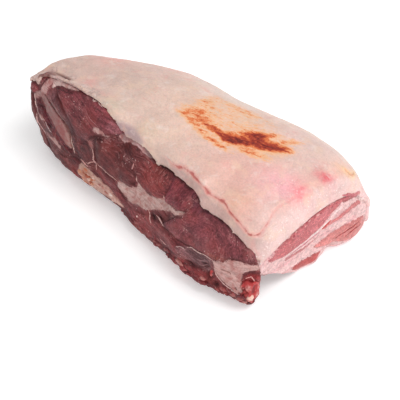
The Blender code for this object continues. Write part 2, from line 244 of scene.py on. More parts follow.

# Thin grey skin over the muscle, and painted light and shade on the shoulder: outline in x, z,
# colour and strength
FILMS = {
    "membrane": (
        ((50, 21), (56, 25.5), (66, 27), (77, 28.5), (79.5, 24), (76, 18), (70, 19),
         (62.5, 19), (56, 18)),
        (140, 104, 108), 0.6,
    ),
    "brown_skin": (
        ((-92, 63), (-86, 62), (-82, 59), (-82, 54), (-88, 51), (-92, 53), (-92, 58)),
        (128, 80, 84), 0.85,
    ),
    "skin_stripe": (
        ((-88, 52), (-80, 50.5), (-70, 46), (-62, 39), (-57, 31), (-60, 29), (-65, 37),
         (-72, 41.5), (-80, 45.5), (-87, 48)),
        (126, 84, 86), 0.5,
    ),
    "under_lip": (
        ((50, 46), (52, 53), (60, 51), (72, 52), (84, 49), (92, 46), (98, 40), (90, 42),
         (80, 45), (70, 47), (60, 45.5)),
        (86, 44, 56), 0.75,
    ),
    "round_top": (
        ((26, 49), (30, 56), (40, 58), (50, 57), (50, 50), (44, 54), (36, 53)),
        (92, 44, 54), 0.6,
    ),
    "seam_shade": (
        ((-2, 24), (6, 27), (12, 26.5), (10, 23), (2, 21.3)),
        (150, 124, 122), 0.6,
    ),
    "violet": (
        ((-31, 61), (-24, 57), (-20, 53), (-27, 53), (-34, 56)),
        (150, 104, 112), 0.4,
    ),
    # Painted light on the upper shoulder muscle
    "painted_shoulder_light": (
        ((-75, 60), (-60, 60), (-45, 58), (-35, 54), (-48, 54), (-60, 55), (-72, 57)),
        (150, 82, 86), 0.45,
    ),
    # Painted shade on the lower shoulder, near the ribs
    "painted_rib_shade": (
        ((-70, 47), (-60, 47), (-50, 43), (-47, 38), (-54, 33), (-60, 40)),
        (110, 58, 64), 0.7,
    ),
    "loin_rust": (
        ((72, 33), (84, 33.5), (84, 31), (76, 29.5)),
        (150, 72, 62), 0.7,
    ),
}

# Deep places of the front cut, also painted dark as their shade: x, z, half sizes, depth
HOLES = (
    (77.5, 17.5, 2.6, 3.6, 2.6),
    (73.5, 21.5, 2.6, 2.2, 1.8),
    (62.5, 17.5, 3.4, 1.4, 1.4),
    (82.5, 12.5, 2.2, 2.4, 1.8),
    (22, 24.3, 2.2, 1.0, 1.0),
    (28.5, 27.0, 2.8, 0.8, 0.9),
    (-95, 40.5, 3.0, 1.0, 0.8),
    (-84, 31.5, 3.0, 1.0, 0.8),
)

# Thin lines of tissue on the front cut: points in x, z, half width and colour
SINEWS = (
    (((-104.8, 45.4), (-104, 44.3), (-103.4, 41.3), (-102.4, 38.2), (-100.8, 36.4), (-99, 34.6),
      (-96.7, 32.6)), 0.5, (216, 178, 172)),
    (((-101.6, 31), (-101, 27.8), (-99.8, 24.3), (-96.7, 22.2), (-93.5, 20.7), (-90.3, 19.2)),
     0.9, (206, 162, 158)),
    (((-89.4, 31.6), (-88, 30.6), (-85.9, 28.7), (-82, 27.6)), 0.45, (206, 176, 174)),
    (((-68.6, 39.9), (-64.9, 37.2), (-62.2, 33.8), (-59.8, 30.6), (-57.6, 27.6), (-56.4, 25.4)),
     0.5, (212, 176, 166)),
    (((-75, 33), (-71.4, 31), (-68.5, 29.4), (-65.7, 28)), 0.35, (190, 140, 134)),
    (((-84.6, 59.4), (-81.4, 60.5), (-78.3, 61.3), (-75.4, 61.4), (-72, 62), (-68, 63)),
     0.35, (70, 34, 36)),
    (((-99.7, 50.6), (-98.6, 53.2), (-96.6, 57.8), (-94.6, 61.7)), 0.45, (84, 44, 44)),
    (((-86, 54), (-79, 49.8), (-72, 45.8), (-66, 41)), 0.3, (150, 112, 112)),
    (((-84, 51.5), (-77, 48), (-70.5, 43.8)), 0.25, (146, 106, 106)),
    (((-50.6, 24.2), (-49.4, 23.6), (-46.7, 23), (-42.6, 22.4)), 0.7, (206, 150, 142)),
    (((-44.8, 25.4), (-43, 25.2), (-41, 27.2), (-39.2, 29.1), (-36, 31)), 0.45, (196, 142, 136)),
    (((-41, 39), (-38.3, 36), (-36.8, 32), (-35, 29), (-33.8, 26)), 0.7, (192, 142, 136)),
    (((-34.5, 30.8), (-27, 30.6), (-20, 29.5), (-13, 29.6)), 0.4, (204, 158, 150)),
    (((57, 25.2), (60, 26.2), (65.5, 26.7), (70, 27.5), (74, 28.3), (78, 28.3)), 0.4,
     (212, 172, 166)),
    (((79.5, 24.5), (80.5, 21), (84, 17.8), (89, 14.8), (96.5, 13.2), (101, 12.6)), 0.45,
     (210, 168, 162)),
    (((17, 25), (19.5, 23), (23.5, 20.8)), 0.4, (212, 166, 160)),
    (((24.5, 26), (28, 26), (31, 25.6), (34.5, 25.4)), 0.45, (216, 172, 166)),
    (((34.5, 15.8), (38, 16.6), (41, 16.8)), 0.35, (196, 150, 146)),
    (((8, 15.4), (9.6, 15.6)), 0.55, (232, 200, 192)),
    (((-4, 47), (-3, 44)), 0.35, (184, 132, 128)),
    (((1.8, 41.5), (2.2, 38), (3.4, 35.5)), 0.45, (206, 160, 154)),
    (((26.2, 41.5), (27.2, 39.6), (28.2, 38.6)), 0.4, (206, 160, 154)),
    (((50, 23), (54, 23.8), (57, 23.2)), 0.35, (190, 150, 148)),
    (((66, 22.5), (70, 23.5), (74, 25.5)), 0.35, (152, 112, 114)),
    (((68, 20), (72, 20.5), (75, 22)), 0.3, (160, 116, 116)),
    (((-56, 60.5), (-49, 58.8), (-43, 57), (-38, 55.8)), 0.25, (156, 96, 98)),
    (((84, 24.5), (88, 25.8), (91, 24.5)), 0.4, (166, 120, 112)),
    (((-88, 63.6), (-82, 64.8), (-76, 65.8), (-70, 66.3), (-62, 66.4), (-55, 66), (-46, 65.6),
      (-42, 65.2)), 0.6, (196, 160, 155)),
    (((99, 24.5), (101, 25.4), (102.6, 23.5), (102.2, 20.5), (100.6, 18.5)), 0.4, (214, 148, 142)),
    (((98.2, 22), (99.2, 19.5), (101, 16.5), (103, 15)), 0.4, (206, 132, 126)),
)

# The red strip of the right end, which lies on the lean and on the fat: outline in y, z
END_STRIP = (
    (28, 40), (33.7, 38.4), (39.9, 36.8), (45.5, 35), (48, 33.6), (47, 31.6), (43, 31.8),
    (38, 33.4), (34, 34.8), (29, 37),
)
STRIP_ON_FAT = (198, 112, 116)
# Layers of the right end: outline in y, z, colour and swell
END_LAYERS = {
    "lens": (
        ((-36, 30), (-29.5, 34), (-22.5, 37), (-17, 38.5), (-7, 40.5), (2.5, 41.8),
         (12, 42), (22, 41), (29, 39.3), (28, 37.5), (22, 36.2), (15.5, 34.4), (7.5, 31.8),
         (0.5, 29.4), (-7.5, 28.3), (-17.5, 27), (-26, 27)),
        (204, 120, 124), 1.2,
    ),
    "lens_end": (END_STRIP, (200, 112, 116), 0.9),
    "thin": (
        ((-20.5, 22), (-14, 21.2), (-6, 21), (2, 21.7), (7, 22.8), (2, 20.2), (-6, 18.8),
         (-14, 18.6), (-20, 19.5)),
        (222, 146, 148), 0.4,
    ),
    "band": (
        ((12, 27.5), (18, 29.5), (26, 30.2), (36, 30), (45, 29), (45, 26.5), (36, 27),
         (26, 27), (18, 26.6), (12, 25.8)),
        (226, 138, 138), 0.5,
    ),
    "lower": (
        ((3, 15.2), (9, 17), (15, 17.8), (20, 18.4), (25, 18.8), (30, 18.6), (35, 18.4),
         (40, 18), (45, 16.5), (49, 14), (50.5, 9), (46, 4.5), (40, 3.4), (30, 4.4), (25, 5.8),
         (20, 7.6), (15, 9.8), (9, 12.6)),
        (236, 152, 148), 1.3,
    ),
    "low_strip": (
        ((-14.5, 9), (-9, 10.3), (-2, 10), (5, 9.6), (9, 8.6), (4, 5), (-2, 3.6),
         (-8, 3.4), (-13, 5.4)),
        (208, 104, 102), 1.0,
    ),
}
END_BASE = (238, 200, 198)
END_BANDS = (228, 164, 168)
# Tissue that closes the seam between the fat and the lean there: y, z, half width, colour
SEAM_LINES = (
    (((28.5, 42.4), (32, 40.4), (34.7, 38.7), (39.9, 35.1), (44.6, 31)), 1.3, (196, 108, 113)),
    (((42.6, 32), (44.6, 30.1), (46.7, 28.1), (48, 26.7), (49.2, 25.2), (50.4, 23.6), (51.2, 21.4)),
     1.7, (240, 206, 202)),
    (((50.6, 23.2), (51.2, 21.4), (51.5, 19.4), (51.8, 17.2)), 1.2, (238, 190, 186)),
)
# The ragged upper edge of the lens-shaped muscle: y, z
LENS_TOP = (
    (-16, 38.6), (-7, 40.7), (3.9, 42.2), (9.5, 42.2), (15.6, 41.7), (21.1, 40.6), (26.4, 39),
)
# Bits along that edge: how many, where in y and their colours
LENS_SHREDS = 30
LENS_ACROSS = (-16, 26)
LENS_COLOURS = ((196, 108, 112), (178, 88, 94), (222, 160, 158), (168, 76, 84))
# Thin lines on the right end: points in y, z, half width and colour
END_LINES = (
    (((-24, 24.8), (-15, 25.4), (-6, 26.3), (2, 27.8), (9, 29.8), (16, 32)), 0.8, (246, 222, 220)),
    (((-22, 22.8), (-12, 23.2), (-4, 24), (3, 25), (9, 26.4)), 0.3, (206, 132, 142)),
    (((9, 27.4), (13, 28.6), (17, 30.4)), 1.1, (198, 58, 56)),
    (((17, 33), (22, 34.2), (28, 34.6)), 0.5, (244, 214, 212)),
    (((20, 13), (27, 14.5), (34, 16), (41, 16)), 0.35, (160, 60, 58)),
    (((28, 11), (35, 12.5), (42, 13)), 0.3, (168, 66, 62)),
    (((26, 20), (28, 20.8), (31, 21)), 0.5, (248, 216, 206)),
)

# The fell's cut edge, a pink groove along the front of the fat: x, y, z
FELL_GROOVE = (
    (4, -40.9, 57), (14.5, -40.1, 58.5), (25.2, -40.7, 58.5), (31.3, -40.1, 60.8),
    (40.6, -41.2, 62.6), (50.1, -42.5, 61.9), (57.1, -42.4, 59.2), (63.3, -41.5, 58.4),
    (67.7, -41.3, 59.3), (72.8, -42.4, 57.6), (80.2, -42.7, 55), (86.7, -42.6, 52),
    (90.6, -42.3, 50.5), (93.5, -40.4, 50.2), (96.3, -38.3, 51.5), (97.2, -34.9, 55.4),
    (96.2, -30, 57.8), (94.4, -24.5, 59.3), (93.8, -19, 59.9), (94.4, -13.5, 59.8), (94.4, -8, 60),
)
# A small fold of the fat at the far right: x, y, z
CREASE = (
    (94, 38.6, 51.8), (95.6, 39.8, 50.2), (97, 41.2, 48.2), (97, 44, 46.3), (95.6, 46.8, 45.2),
)
# The fat's lower edge on the front cut: x, z
FAT_HEM = (
    (-109, 53), (-103, 54.5), (-97, 59.5), (-91, 62.5), (-82, 65), (-70, 66.5), (-55, 66),
    (-40, 65), (-29, 59), (-20, 52), (-7, 56), (7, 50), (21, 52), (35, 52), (44, 53),
    (49, 54), (55, 48), (59, 47), (75, 48), (86, 44), (95, 40), (102, 29),
)
# How dark the painted shade makes the front cut under that edge: x and share
HEM_SHADE = (
    (-80, 0), (-60, 0.1), (-26, 0.25), (-10, 0.3), (0, 0.6), (12, 0.85), (45, 0.85), (52, 0.6),
    (88, 0.5), (97, 0),
)
# The slit where the fat is turned up at the left, painted dark as the shade in it: x, y, z
FOLD = (
    (-103.5, -43, 53), (-101.5, -41, 56.5), (-99.2, -40.2, 58.7), (-94.4, -39.5, 59.8),
    (-90.4, -38.7, 60.6), (-85.3, -38.3, 61.5), (-82, -38.6, 63), (-79, -40, 65.5),
)
# The slit's lower end, where it runs down the front: x, y, z
FOLD_FRONT = ((-99, -49.9, 52.6), (-97.6, -48.1, 57.6), (-95.5, -47.5, 61), (-93.5, -46, 64))

# Tints of the fat: x, y, reach and colour
FAT_TINTS = (
    (-95, -30, 26, (207, 178, 168)),
    (-62, -15, 34, (214, 184, 173)),
    (-88, 8, 16, (234, 174, 164)),
    (-50, 36, 16, (226, 170, 162)),
    (-72, -30, 8, (226, 178, 168)),
    (-25, -22, 26, (220, 191, 178)),
    (-38, -38, 9, (210, 188, 170)),
    (-4, -35, 9, (216, 190, 170)),
    (15, 10, 36, (230, 196, 179)),
    (0, 45, 26, (228, 206, 196)),
    (70, 32, 30, (224, 194, 186)),
    (60, -20, 30, (224, 178, 166)),
    (84, -28, 16, (228, 180, 170)),
    (100, -30, 18, (226, 190, 182)),
    (80, -10, 12, (232, 175, 176)),
    (88, -7, 8, (238, 178, 184)),
    (96, -1, 9, (230, 130, 134)),
    (96, 19.5, 8, (228, 108, 116)),
    (95, 38, 9, (232, 178, 158)),
    (76, -36, 9, (228, 176, 156)),
    (60, 6, 7, (232, 190, 160)),
)
FAT_BASE = (228, 197, 184)
# The smeared ink mark on the top: x, y, half length, half width, turn and strength
INK = (
    (30, 6, 40, 22, 14, 0.34),
    (24, -6.5, 13, 2.6, 4, 0.8),
    (40, -2, 12, 4.0, 24, 0.95),
    (54, 6, 12, 4.6, 27, 0.95),
    (64, 12.5, 8, 3.2, 34, 0.8),
    (36, -6.5, 6, 3.0, 10, 0.85),
    (45, 8.5, 9, 4.4, 30, 0.85),
    (50, 15, 8, 2.6, 50, 0.5),
    (6, -5, 12, 5, 16, 0.42),
    (10, -12, 14, 3.0, -4, 0.42),
    (2, 8, 6, 12, 10, 0.3),
    (20, 22, 18, 4, 14, 0.34),
    (32, -14, 12, 2.4, 4, 0.5),
    (54, -4, 12, 2.6, 18, 0.5),
    (62, 21, 11, 3.2, 60, 0.4),
)
INK_TURN = 24  # the direction of the smear, in degrees

# Small bits: middle in x, y, z, radii and colour
NUBS = (
    ((69, -60.5, 10), (1.6, 1.4, 2.0), (214, 160, 152)),
    ((103.5, -51.5, 11), (2.2, 2.2, 2.0), (228, 186, 170)),
    ((99, -53, 10.5), (3.0, 2.0, 1.6), (206, 110, 100)),
    ((-18.4, -43.5, 49.6), (1.5, 0.7, 1.1), (226, 202, 196)),
)
# Loose bits of tissue: how many, where from and to in x, lower and upper z, how far they
# sink along the way, sizes and colours
LOOSE = (
    (34, (54, 100), (3, 13), 0, (1.0, 2.6),
     ((136, 54, 57), (120, 46, 50), (156, 78, 76), (104, 34, 40), (176, 112, 106))),
    (24, (-50, -35), (10, 21), 2, (0.7, 1.9),
     ((208, 158, 142), (198, 118, 86), (216, 176, 160), (166, 88, 66), (204, 140, 114))),
    (14, (-38, -10), (10, 18), 5, (0.7, 1.5),
     ((222, 190, 180), (206, 164, 152), (232, 206, 196), (180, 120, 110))),
    (22, (-10, 54), (6, 12), 0, (0.7, 1.6), ((126, 52, 56), (108, 42, 46), (150, 84, 82))),
)
# The blade bone shows between these edges, with meat below and above them: x, z
BLADE_EDGE = (
    (-97, 45.5), (-92.5, 42.2), (-84.2, 38.1), (-77.4, 34.4), (-71.4, 31.1), (-65.7, 28.3),
    (-61.2, 27.8), (-57, 27),
)
BLADE_TOP = (
    (-93, 51), (-87.3, 49), (-83.2, 46.6), (-75.6, 43.4), (-68.6, 40), (-64.7, 37), (-62, 34),
    (-57, 28),
)
# A grey-violet place of the fat, seen from the front: outline in x, z
BRUISE = (
    (-31, 60), (-26, 61.5), (-18, 62), (-8, 61.5), (-5, 58), (-14, 56), (-22, 54), (-29, 58),
)
BLADE_BASE = (164, 104, 101)
CORNER_BONE_BASE = (184, 66, 66)
# Shreds under the edge of the fat: how many, where in x and their colours
SHREDS = 34
SHREDS_ACROSS = (4, 25)
SHRED_COLOURS = ((166, 102, 99), (84, 36, 38), (150, 80, 76), (126, 62, 60))
# How far the far right corner stands out at each height
CORNER_Z = (0, 6, 12, 18, 23, 28, 34, 46, 60)
CORNER_OUT = (-3.5, -2.5, -3.0, -1.5, 0.2, -1.2, -1.2, -0.6, -1.0)

FAR = 9.0  # how far from a line or outline distances are worked out, in millimetres
FRONT_START = -90  # where rays towards the front cut start, in y
END_START = 130  # where rays towards the right end start, in x
LONGEST_STEP = 3  # a line of tissue doesn't jump farther than this, in millimetres
RIBBON_SIDES = 6
SEED = 5
# The numbers that the noise is made of, and which of them each of its cells takes
LATTICE = np.random.default_rng(SEED).uniform(-1, 1, 8192)
LATTICE_STEPS = np.array((1619, 31337, 6971))


def linear(colour):
    """A 0 to 255 display colour as linear red, green, blue."""
    value = np.array(colour, float) / 255
    return np.where(value <= 0.04045, value / 12.92, ((value + 0.055) / 1.055) ** 2.4)


def soft(value, start=0.0, end=1.0):
    """A soft step from 0 at start to 1 at end."""
    t = np.clip((value - start) / (end - start), 0, 1)
    return t * t * (3 - 2 * t)


def noise(points, size, seed=0):
    """Smooth noise from -1 to 1 with lumps of about the given size."""
    spot = np.asarray(points, float) / size + seed * 7.31
    if spot.shape[1] == 2:
        spot = np.column_stack([spot, np.zeros(len(spot))])
    cell = np.floor(spot).astype(np.int64)
    share = spot - cell
    share = share * share * (3 - 2 * share)
    total = np.zeros(len(spot))
    for corner in np.ndindex(2, 2, 2):
        at = cell + corner
        index = (at @ LATTICE_STEPS + seed * 101) % len(LATTICE)
        weight = np.prod(np.where(corner, share, 1 - share), axis=1)
        total += LATTICE[index] * weight
    return total


def layered(points, size, seed=0, octaves=3):
    """Noise with finer and fainter lumps on top."""
    total = sum(noise(points, size / 2**k, seed + k) / 2**k for k in range(octaves))
    return total / (2 - 2 ** (1 - octaves))


def uneven(points, size, *seeds):
    """Layered noise along one axis for each seed."""
    return np.column_stack([layered(points, size, seed) for seed in seeds])


def bell(value, width):
    """1 where a value is 0, and softly less on both sides."""
    return np.exp(-((value / width) ** 2))


def smooth_line(points, closed, steps=6):
    """A finer line on the smooth curve through the points."""
    points = np.array(points, float)
    count = len(points)
    spans = count if closed else count - 1
    fine = []
    for k in range(spans):
        near = [k - 1, k, k + 1, k + 2]
        before, start, end, after = (
            points[[i % count if closed else min(max(i, 0), count - 1) for i in near]]
        )
        for t in np.arange(steps) / steps:
            fine.append(
                start
                + (end - before) * t / 2
                + (2 * before - 5 * start + 4 * end - after) * t**2 / 2
                + (3 * start - before - 3 * end + after) * t**3 / 2
            )
    if not closed:
        fine.append(points[-1])
    return np.array(fine)


def line_distance(points, line, closed=False):
    """The distance from each point to a line through more than one place."""
    ends = np.roll(line, -1, 0) if closed else line[1:]
    nearest = np.full(len(points), np.inf)
    for start, end in zip(line, ends):
        along = end - start
        share = np.clip((points - start) @ along / max(along @ along, 1e-9), 0, 1)
        gap = points - start - share[:, None] * along
        nearest = np.minimum(nearest, (gap**2).sum(1))
    return np.sqrt(nearest)


def near_line(points, route, reach, steps=6):
    """The distance to a smooth line, only worked out near it and set to reach elsewhere."""
    line = smooth_line(route, False, steps)
    low, high = line.min(0) - reach, line.max(0) + reach
    close = np.all((points > low) & (points < high), axis=1)
    distance = np.full(len(points), float(reach))
    distance[close] = np.minimum(line_distance(points[close], line), reach)
    return distance


def inside_depth(points, outline):
    """How deep each point lies inside a smooth outline; below 0 outside."""
    line = smooth_line(outline, True, 5)
    low, high = line.min(0) - FAR, line.max(0) + FAR
    close = np.all((points > low) & (points < high), axis=1)
    near = points[close]
    inside = np.zeros(len(near), bool)
    for start, end in zip(line, np.roll(line, -1, 0)):
        if start[1] == end[1]:
            continue
        crosses = (start[1] > near[:, 1]) != (end[1] > near[:, 1])
        meet = (end[0] - start[0]) * (near[:, 1] - start[1]) / (end[1] - start[1]) + start[0]
        inside ^= crosses & (near[:, 0] < meet)
    distance = line_distance(near, line, True)
    depth = np.full(len(points), -FAR)
    depth[close] = np.maximum(np.where(inside, distance, -distance), -FAR)
    return depth


def dome(depth, rim):
    """A rounded rim: 0 at the outline and 1 from one rim width inside."""
    t = np.clip(depth / rim, 0, 1)
    return np.sqrt(1 - (1 - t) ** 2)


class Skin:
    """A fine mesh as arrays: points in millimetres, edges, faces and normals."""

    def __init__(self, name, mesh):
        self.name = name
        self.mesh = mesh
        self.read()

    def read(self):
        """Takes the points and edges from the mesh."""
        points = np.empty(len(self.mesh.vertices) * 3)
        self.mesh.vertices.foreach_get("co", points)
        self.points = points.reshape(-1, 3) / MM
        edges = np.empty(len(self.mesh.edges) * 2, np.int64)
        self.mesh.edges.foreach_get("vertices", edges)
        self.edges = edges.reshape(-1, 2)

    def relax(self, rounds, pull=0.5, push=-0.52):
        """Smooths the points without shrinking the form."""
        count = len(self.points)
        a, b = self.edges.T
        links = np.bincount(a, minlength=count) + np.bincount(b, minlength=count)
        for step in [pull, push] * rounds:
            moved = np.empty_like(self.points)
            for axis in range(3):
                value = self.points[:, axis]
                total = np.bincount(a, value[b], count) + np.bincount(b, value[a], count)
                moved[:, axis] = value + step * (total / links - value)
            self.points = moved

    def refine(self, chosen):
        """Halves the faces whose middles a test picks, from places and directions."""
        self.write()
        grid = bmesh.new()
        grid.from_mesh(self.mesh)
        middles = np.array([face.calc_center_median() for face in grid.faces]) / MM
        directions = np.array([face.normal for face in grid.faces])
        picked = chosen(middles, directions)
        edges = {edge for face, pick in zip(grid.faces, picked) if pick for edge in face.edges}
        bmesh.ops.subdivide_edges(grid, edges=list(edges), cuts=1, use_grid_fill=True)
        grid.to_mesh(self.mesh)
        grid.free()
        self.read()
        self.relax(2)

    def write(self):
        """Puts the points into the mesh."""
        self.mesh.vertices.foreach_set("co", (self.points * MM).ravel())
        self.mesh.update()

    def normals(self):
        """The normal at each point."""
        self.write()
        found = np.empty(len(self.points) * 3)
        self.mesh.vertex_normals.foreach_get("vector", found)
        return found.reshape(-1, 3)

    def store(self, **kept):
        """Keeps one number, or three, for each point under each name for the material."""
        for name, values in kept.items():
            kind, key = ("FLOAT", "value") if values.ndim == 1 else ("FLOAT_VECTOR", "vector")
            layer = self.mesh.attributes.new(name, kind, "POINT")
            layer.data.foreach_set(key, values.astype(np.float32).ravel())

    def piece(self, material, slot, *nodes):
        """Makes the shown piece, which stands for the given solids."""
        self.write()
        self.mesh.shade_smooth()
        self.mesh.materials.clear()
        self.mesh.materials.append(material)
        thing = bpy.data.objects.new(self.name, self.mesh)
        bpy.context.scene.collection.objects.link(thing)
        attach(thing, "root")
        if nodes:
            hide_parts(*nodes)
        return thing


def fine_skin(name, node, grid, rounds):
    """An even fine mesh with the form of a solid."""
    rough = bpy.data.objects.new(name + "_rough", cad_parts[node].data.copy())
    bpy.context.scene.collection.objects.link(rough)
    remesh = rough.modifiers.new("grid", "REMESH")
    remesh.mode = "VOXEL"
    remesh.voxel_size = grid * MM
    evaluated = rough.evaluated_get(bpy.context.evaluated_depsgraph_get())
    mesh = bpy.data.meshes.new_from_object(evaluated)
    mesh.name = name
    bpy.data.objects.remove(rough)
    skin = Skin(name, mesh)
    skin.relax(rounds)
    skin.points = fuller_left(skin.points)
    return skin


# ---------------------------------------------------------------- materials


def plain_material(name, values):
    """A material and its shader, with values that are the same all over the surface."""
    material = bpy.data.materials.new(name)
    material.use_nodes = True
    shader = material.node_tree.nodes["Principled BSDF"]
    for key, value in values.items():
        shader.inputs[key].default_value = value
    return material, shader


class Look:
    """A moist material, in whose nodes patterns and colours are put together.

    Light bleeds a little below its surface. The noise patterns are laid out in metres over the
    object, or over another vector that the mesh keeps.
    """

    def __init__(self, name, roughness, coat, coat_roughness, bleed, gloss):
        values = {
            "Roughness": roughness,
            "Specular IOR Level": gloss,
            "Coat Weight": coat,
            "Coat Roughness": coat_roughness,
            "Subsurface Weight": bleed,
            "Subsurface Radius": BLEED_COLOUR,
            "Subsurface Scale": BLEED_DEPTH * MM,
        }
        self.material, self.shader = plain_material(name, values)
        self.tree = self.material.node_tree
        self.place = self.add("TexCoord").outputs["Object"]
        self.tone = self.kept("tone", "Color")

    def add(self, kind, inputs=None, **settings):
        """A new node whose inputs are values or other nodes' outputs."""
        made = self.tree.nodes.new("ShaderNode" + kind)
        for key, value in settings.items():
            setattr(made, key, value)
        for key, value in (inputs or {}).items():
            if isinstance(value, bpy.types.NodeSocket):
                self.tree.links.new(value, made.inputs[key])
            else:
                made.inputs[key].default_value = value
        return made

    def kept(self, name, output="Fac"):
        """What the mesh keeps under a name."""
        return self.add("Attribute", attribute_name=name).outputs[output]

    def grain(self, scale, detail, roughness=0.6, warp=0.0, over=None):
        """A noise pattern."""
        inputs = {"Vector": over or self.place, "Scale": scale, "Detail": detail}
        inputs |= {"Roughness": roughness, "Distortion": warp}
        return self.add("TexNoise", inputs).outputs[0]

    def calc(self, operation, *numbers):
        """The result of one sum."""
        return self.add("Math", dict(enumerate(numbers)), operation=operation).outputs[0]

    def plus(self, first, second):
        """Two numbers added."""
        return self.calc("ADD", first, second)

    def times(self, first, second):
        """Two numbers multiplied."""
        return self.calc("MULTIPLY", first, second)

    def swing(self, pattern, span):
        """A pattern from 0 to 1 as a number that swings by a span round 0."""
        return self.calc("MULTIPLY_ADD", pattern, span, -span / 2)

    def between(self, value, low, high, bottom=0.0, top=1.0):
        """A number moved softly from one range to another."""
        inputs = {"Value": value, "From Min": low, "From Max": high}
        inputs |= {"To Min": bottom, "To Max": top}
        return self.add("MapRange", inputs, interpolation_type="SMOOTHSTEP").outputs[0]

    def hairlines(self, pattern, width):
        """1 along the thin lines where a noise pattern crosses its middle, else 0."""
        away = self.calc("ABSOLUTE", self.calc("SUBTRACT", pattern, 0.5))
        return self.between(away, width * 0.3, width, 1.0, 0.0)

    def scaled(self, colour, pattern, low, high, darkest, lightest):
        """A colour made darker where a pattern is low and lighter where it is high."""
        factor = self.between(pattern, low, high, darkest, lightest)
        inputs = {0: colour, "Scale": factor}
        return self.add("VectorMath", inputs, operation="SCALE").outputs[0]

    def mixed(self, below, above, share):
        """A colour with a share of another over it."""
        if not isinstance(above, bpy.types.NodeSocket):
            above = (*linear(above), 1)
        return self.add("Mix", {0: share, 6: below, 7: above}, data_type="RGBA").outputs[2]

    def stained(self, below, above, pattern, low, high, most=1.0):
        """A colour with another over it where a pattern rises from low to high."""
        return self.mixed(below, above, self.between(pattern, low, high, 0.0, most))

    def done(self, colour, relief, strength, distance):
        """The material with its colour, and with relief that is finer than the mesh."""
        bump = {"Height": relief, "Strength": strength, "Distance": distance * MM}
        self.tree.links.new(self.add("Bump", bump).outputs[0], self.shader.inputs["Normal"])
        self.tree.links.new(colour, self.shader.inputs["Base Color"])
        return self.material


def lean_material():
    """Moist muscle: fibres, fine marbling and pale tissue with crisp ragged edges."""
    look = Look("lean_meat", roughness=0.42, coat=0.05, coat_roughness=0.2, bleed=0.06, gloss=0.12)
    fibre = look.kept("fibre", "Vector")
    at_end = look.kept("end")
    strands = look.grain(1.0, 4.0, 0.7, 1.1, fibre)
    speckle = look.grain(900, 3.0, 0.7)

    # Light and dark strands, speckles and patches, which are weaker on the right end
    shade = look.between(strands, 0.3, 0.7, 0.44, 1.36)
    shade = look.times(shade, look.between(speckle, 0.3, 0.7, 0.66, 1.34))
    shade = look.times(shade, look.between(look.grain(45, 2.0), 0.3, 0.7, 0.72, 1.2))
    keep = look.calc("MULTIPLY_ADD", at_end, -0.4, 1.0)
    shade = look.calc("MULTIPLY_ADD", look.calc("SUBTRACT", shade, 1.0), keep, 1.0)
    meat = look.add("VectorMath", {0: look.tone, "Scale": shade}, operation="SCALE").outputs[0]

    # Pale bundles of fibres, rusty mottles, marbling as wisps, and pale dots painted as wet glints
    # and fine marbling
    bundles = look.grain(0.3, 2.0, 0.5, 0.4, fibre)
    meat = look.stained(meat, (172, 98, 98), bundles, 0.52, 0.78, 0.35)
    meat = look.stained(meat, (146, 56, 46), look.grain(90, 3.0), 0.4, 0.7, 0.3)
    sparse = look.between(look.grain(130, 2.0), 0.48, 0.62)
    wisps = look.hairlines(look.grain(0.42, 4.0, 0.6, 0.5, fibre), 0.03)
    meat = look.mixed(meat, (184, 126, 124), look.times(wisps, look.times(sparse, 0.34)))
    glint_and_fleck_dots = look.between(look.grain(950, 1.0), 0.67, 0.75, 0.0, 0.8)
    glint_and_fleck_dots = look.times(glint_and_fleck_dots, look.calc("MAXIMUM", sparse, at_end))
    meat = look.mixed(meat, (220, 180, 176), glint_and_fleck_dots)

    # Pale tissue with streaks, pink stains and fine lines
    streak = look.plus(look.grain(0.8, 4.0, 0.7, 0.8, fibre), look.times(speckle, 0.3))
    tissue = look.scaled(look.kept("pale_tone", "Color"), streak, 0.45, 0.85, 0.76, 1.2)
    stain = look.between(look.grain(170, 5.0, 0.7, 0.4), 0.46, 0.66, 0.0, 0.7)
    tissue = look.mixed(tissue, (164, 92, 88), look.times(stain, look.kept("stain")))
    lines = look.hairlines(look.grain(150, 3.0, 0.6, 1.0), 0.02)
    tissue = look.mixed(tissue, (150, 100, 100), look.times(lines, 0.4))

    # It shows where its ragged and frayed outline is passed, with a paler rim of meat
    ragged = look.swing(look.grain(380, 4.0, 0.7), 3.4)
    frayed = look.swing(strands, 3.4)
    depth = look.plus(look.kept("pale"), look.plus(ragged, frayed))
    meat = look.stained(meat, (150, 92, 92), depth, -2.2, 0.0, 0.25)
    colour = look.stained(meat, tissue, depth, -0.2, 0.5)
    # Painted shade under the fat's edge and in the deep places
    colour = look.mixed(colour, (46, 18, 20), look.kept("dark"))
    wet = look.between(look.grain(150, 2.0), 0.3, 0.7, 0.28, 0.55)
    look.tree.links.new(wet, look.shader.inputs["Roughness"])
    return look.done(colour, look.plus(strands, speckle), strength=0.6, distance=0.7)


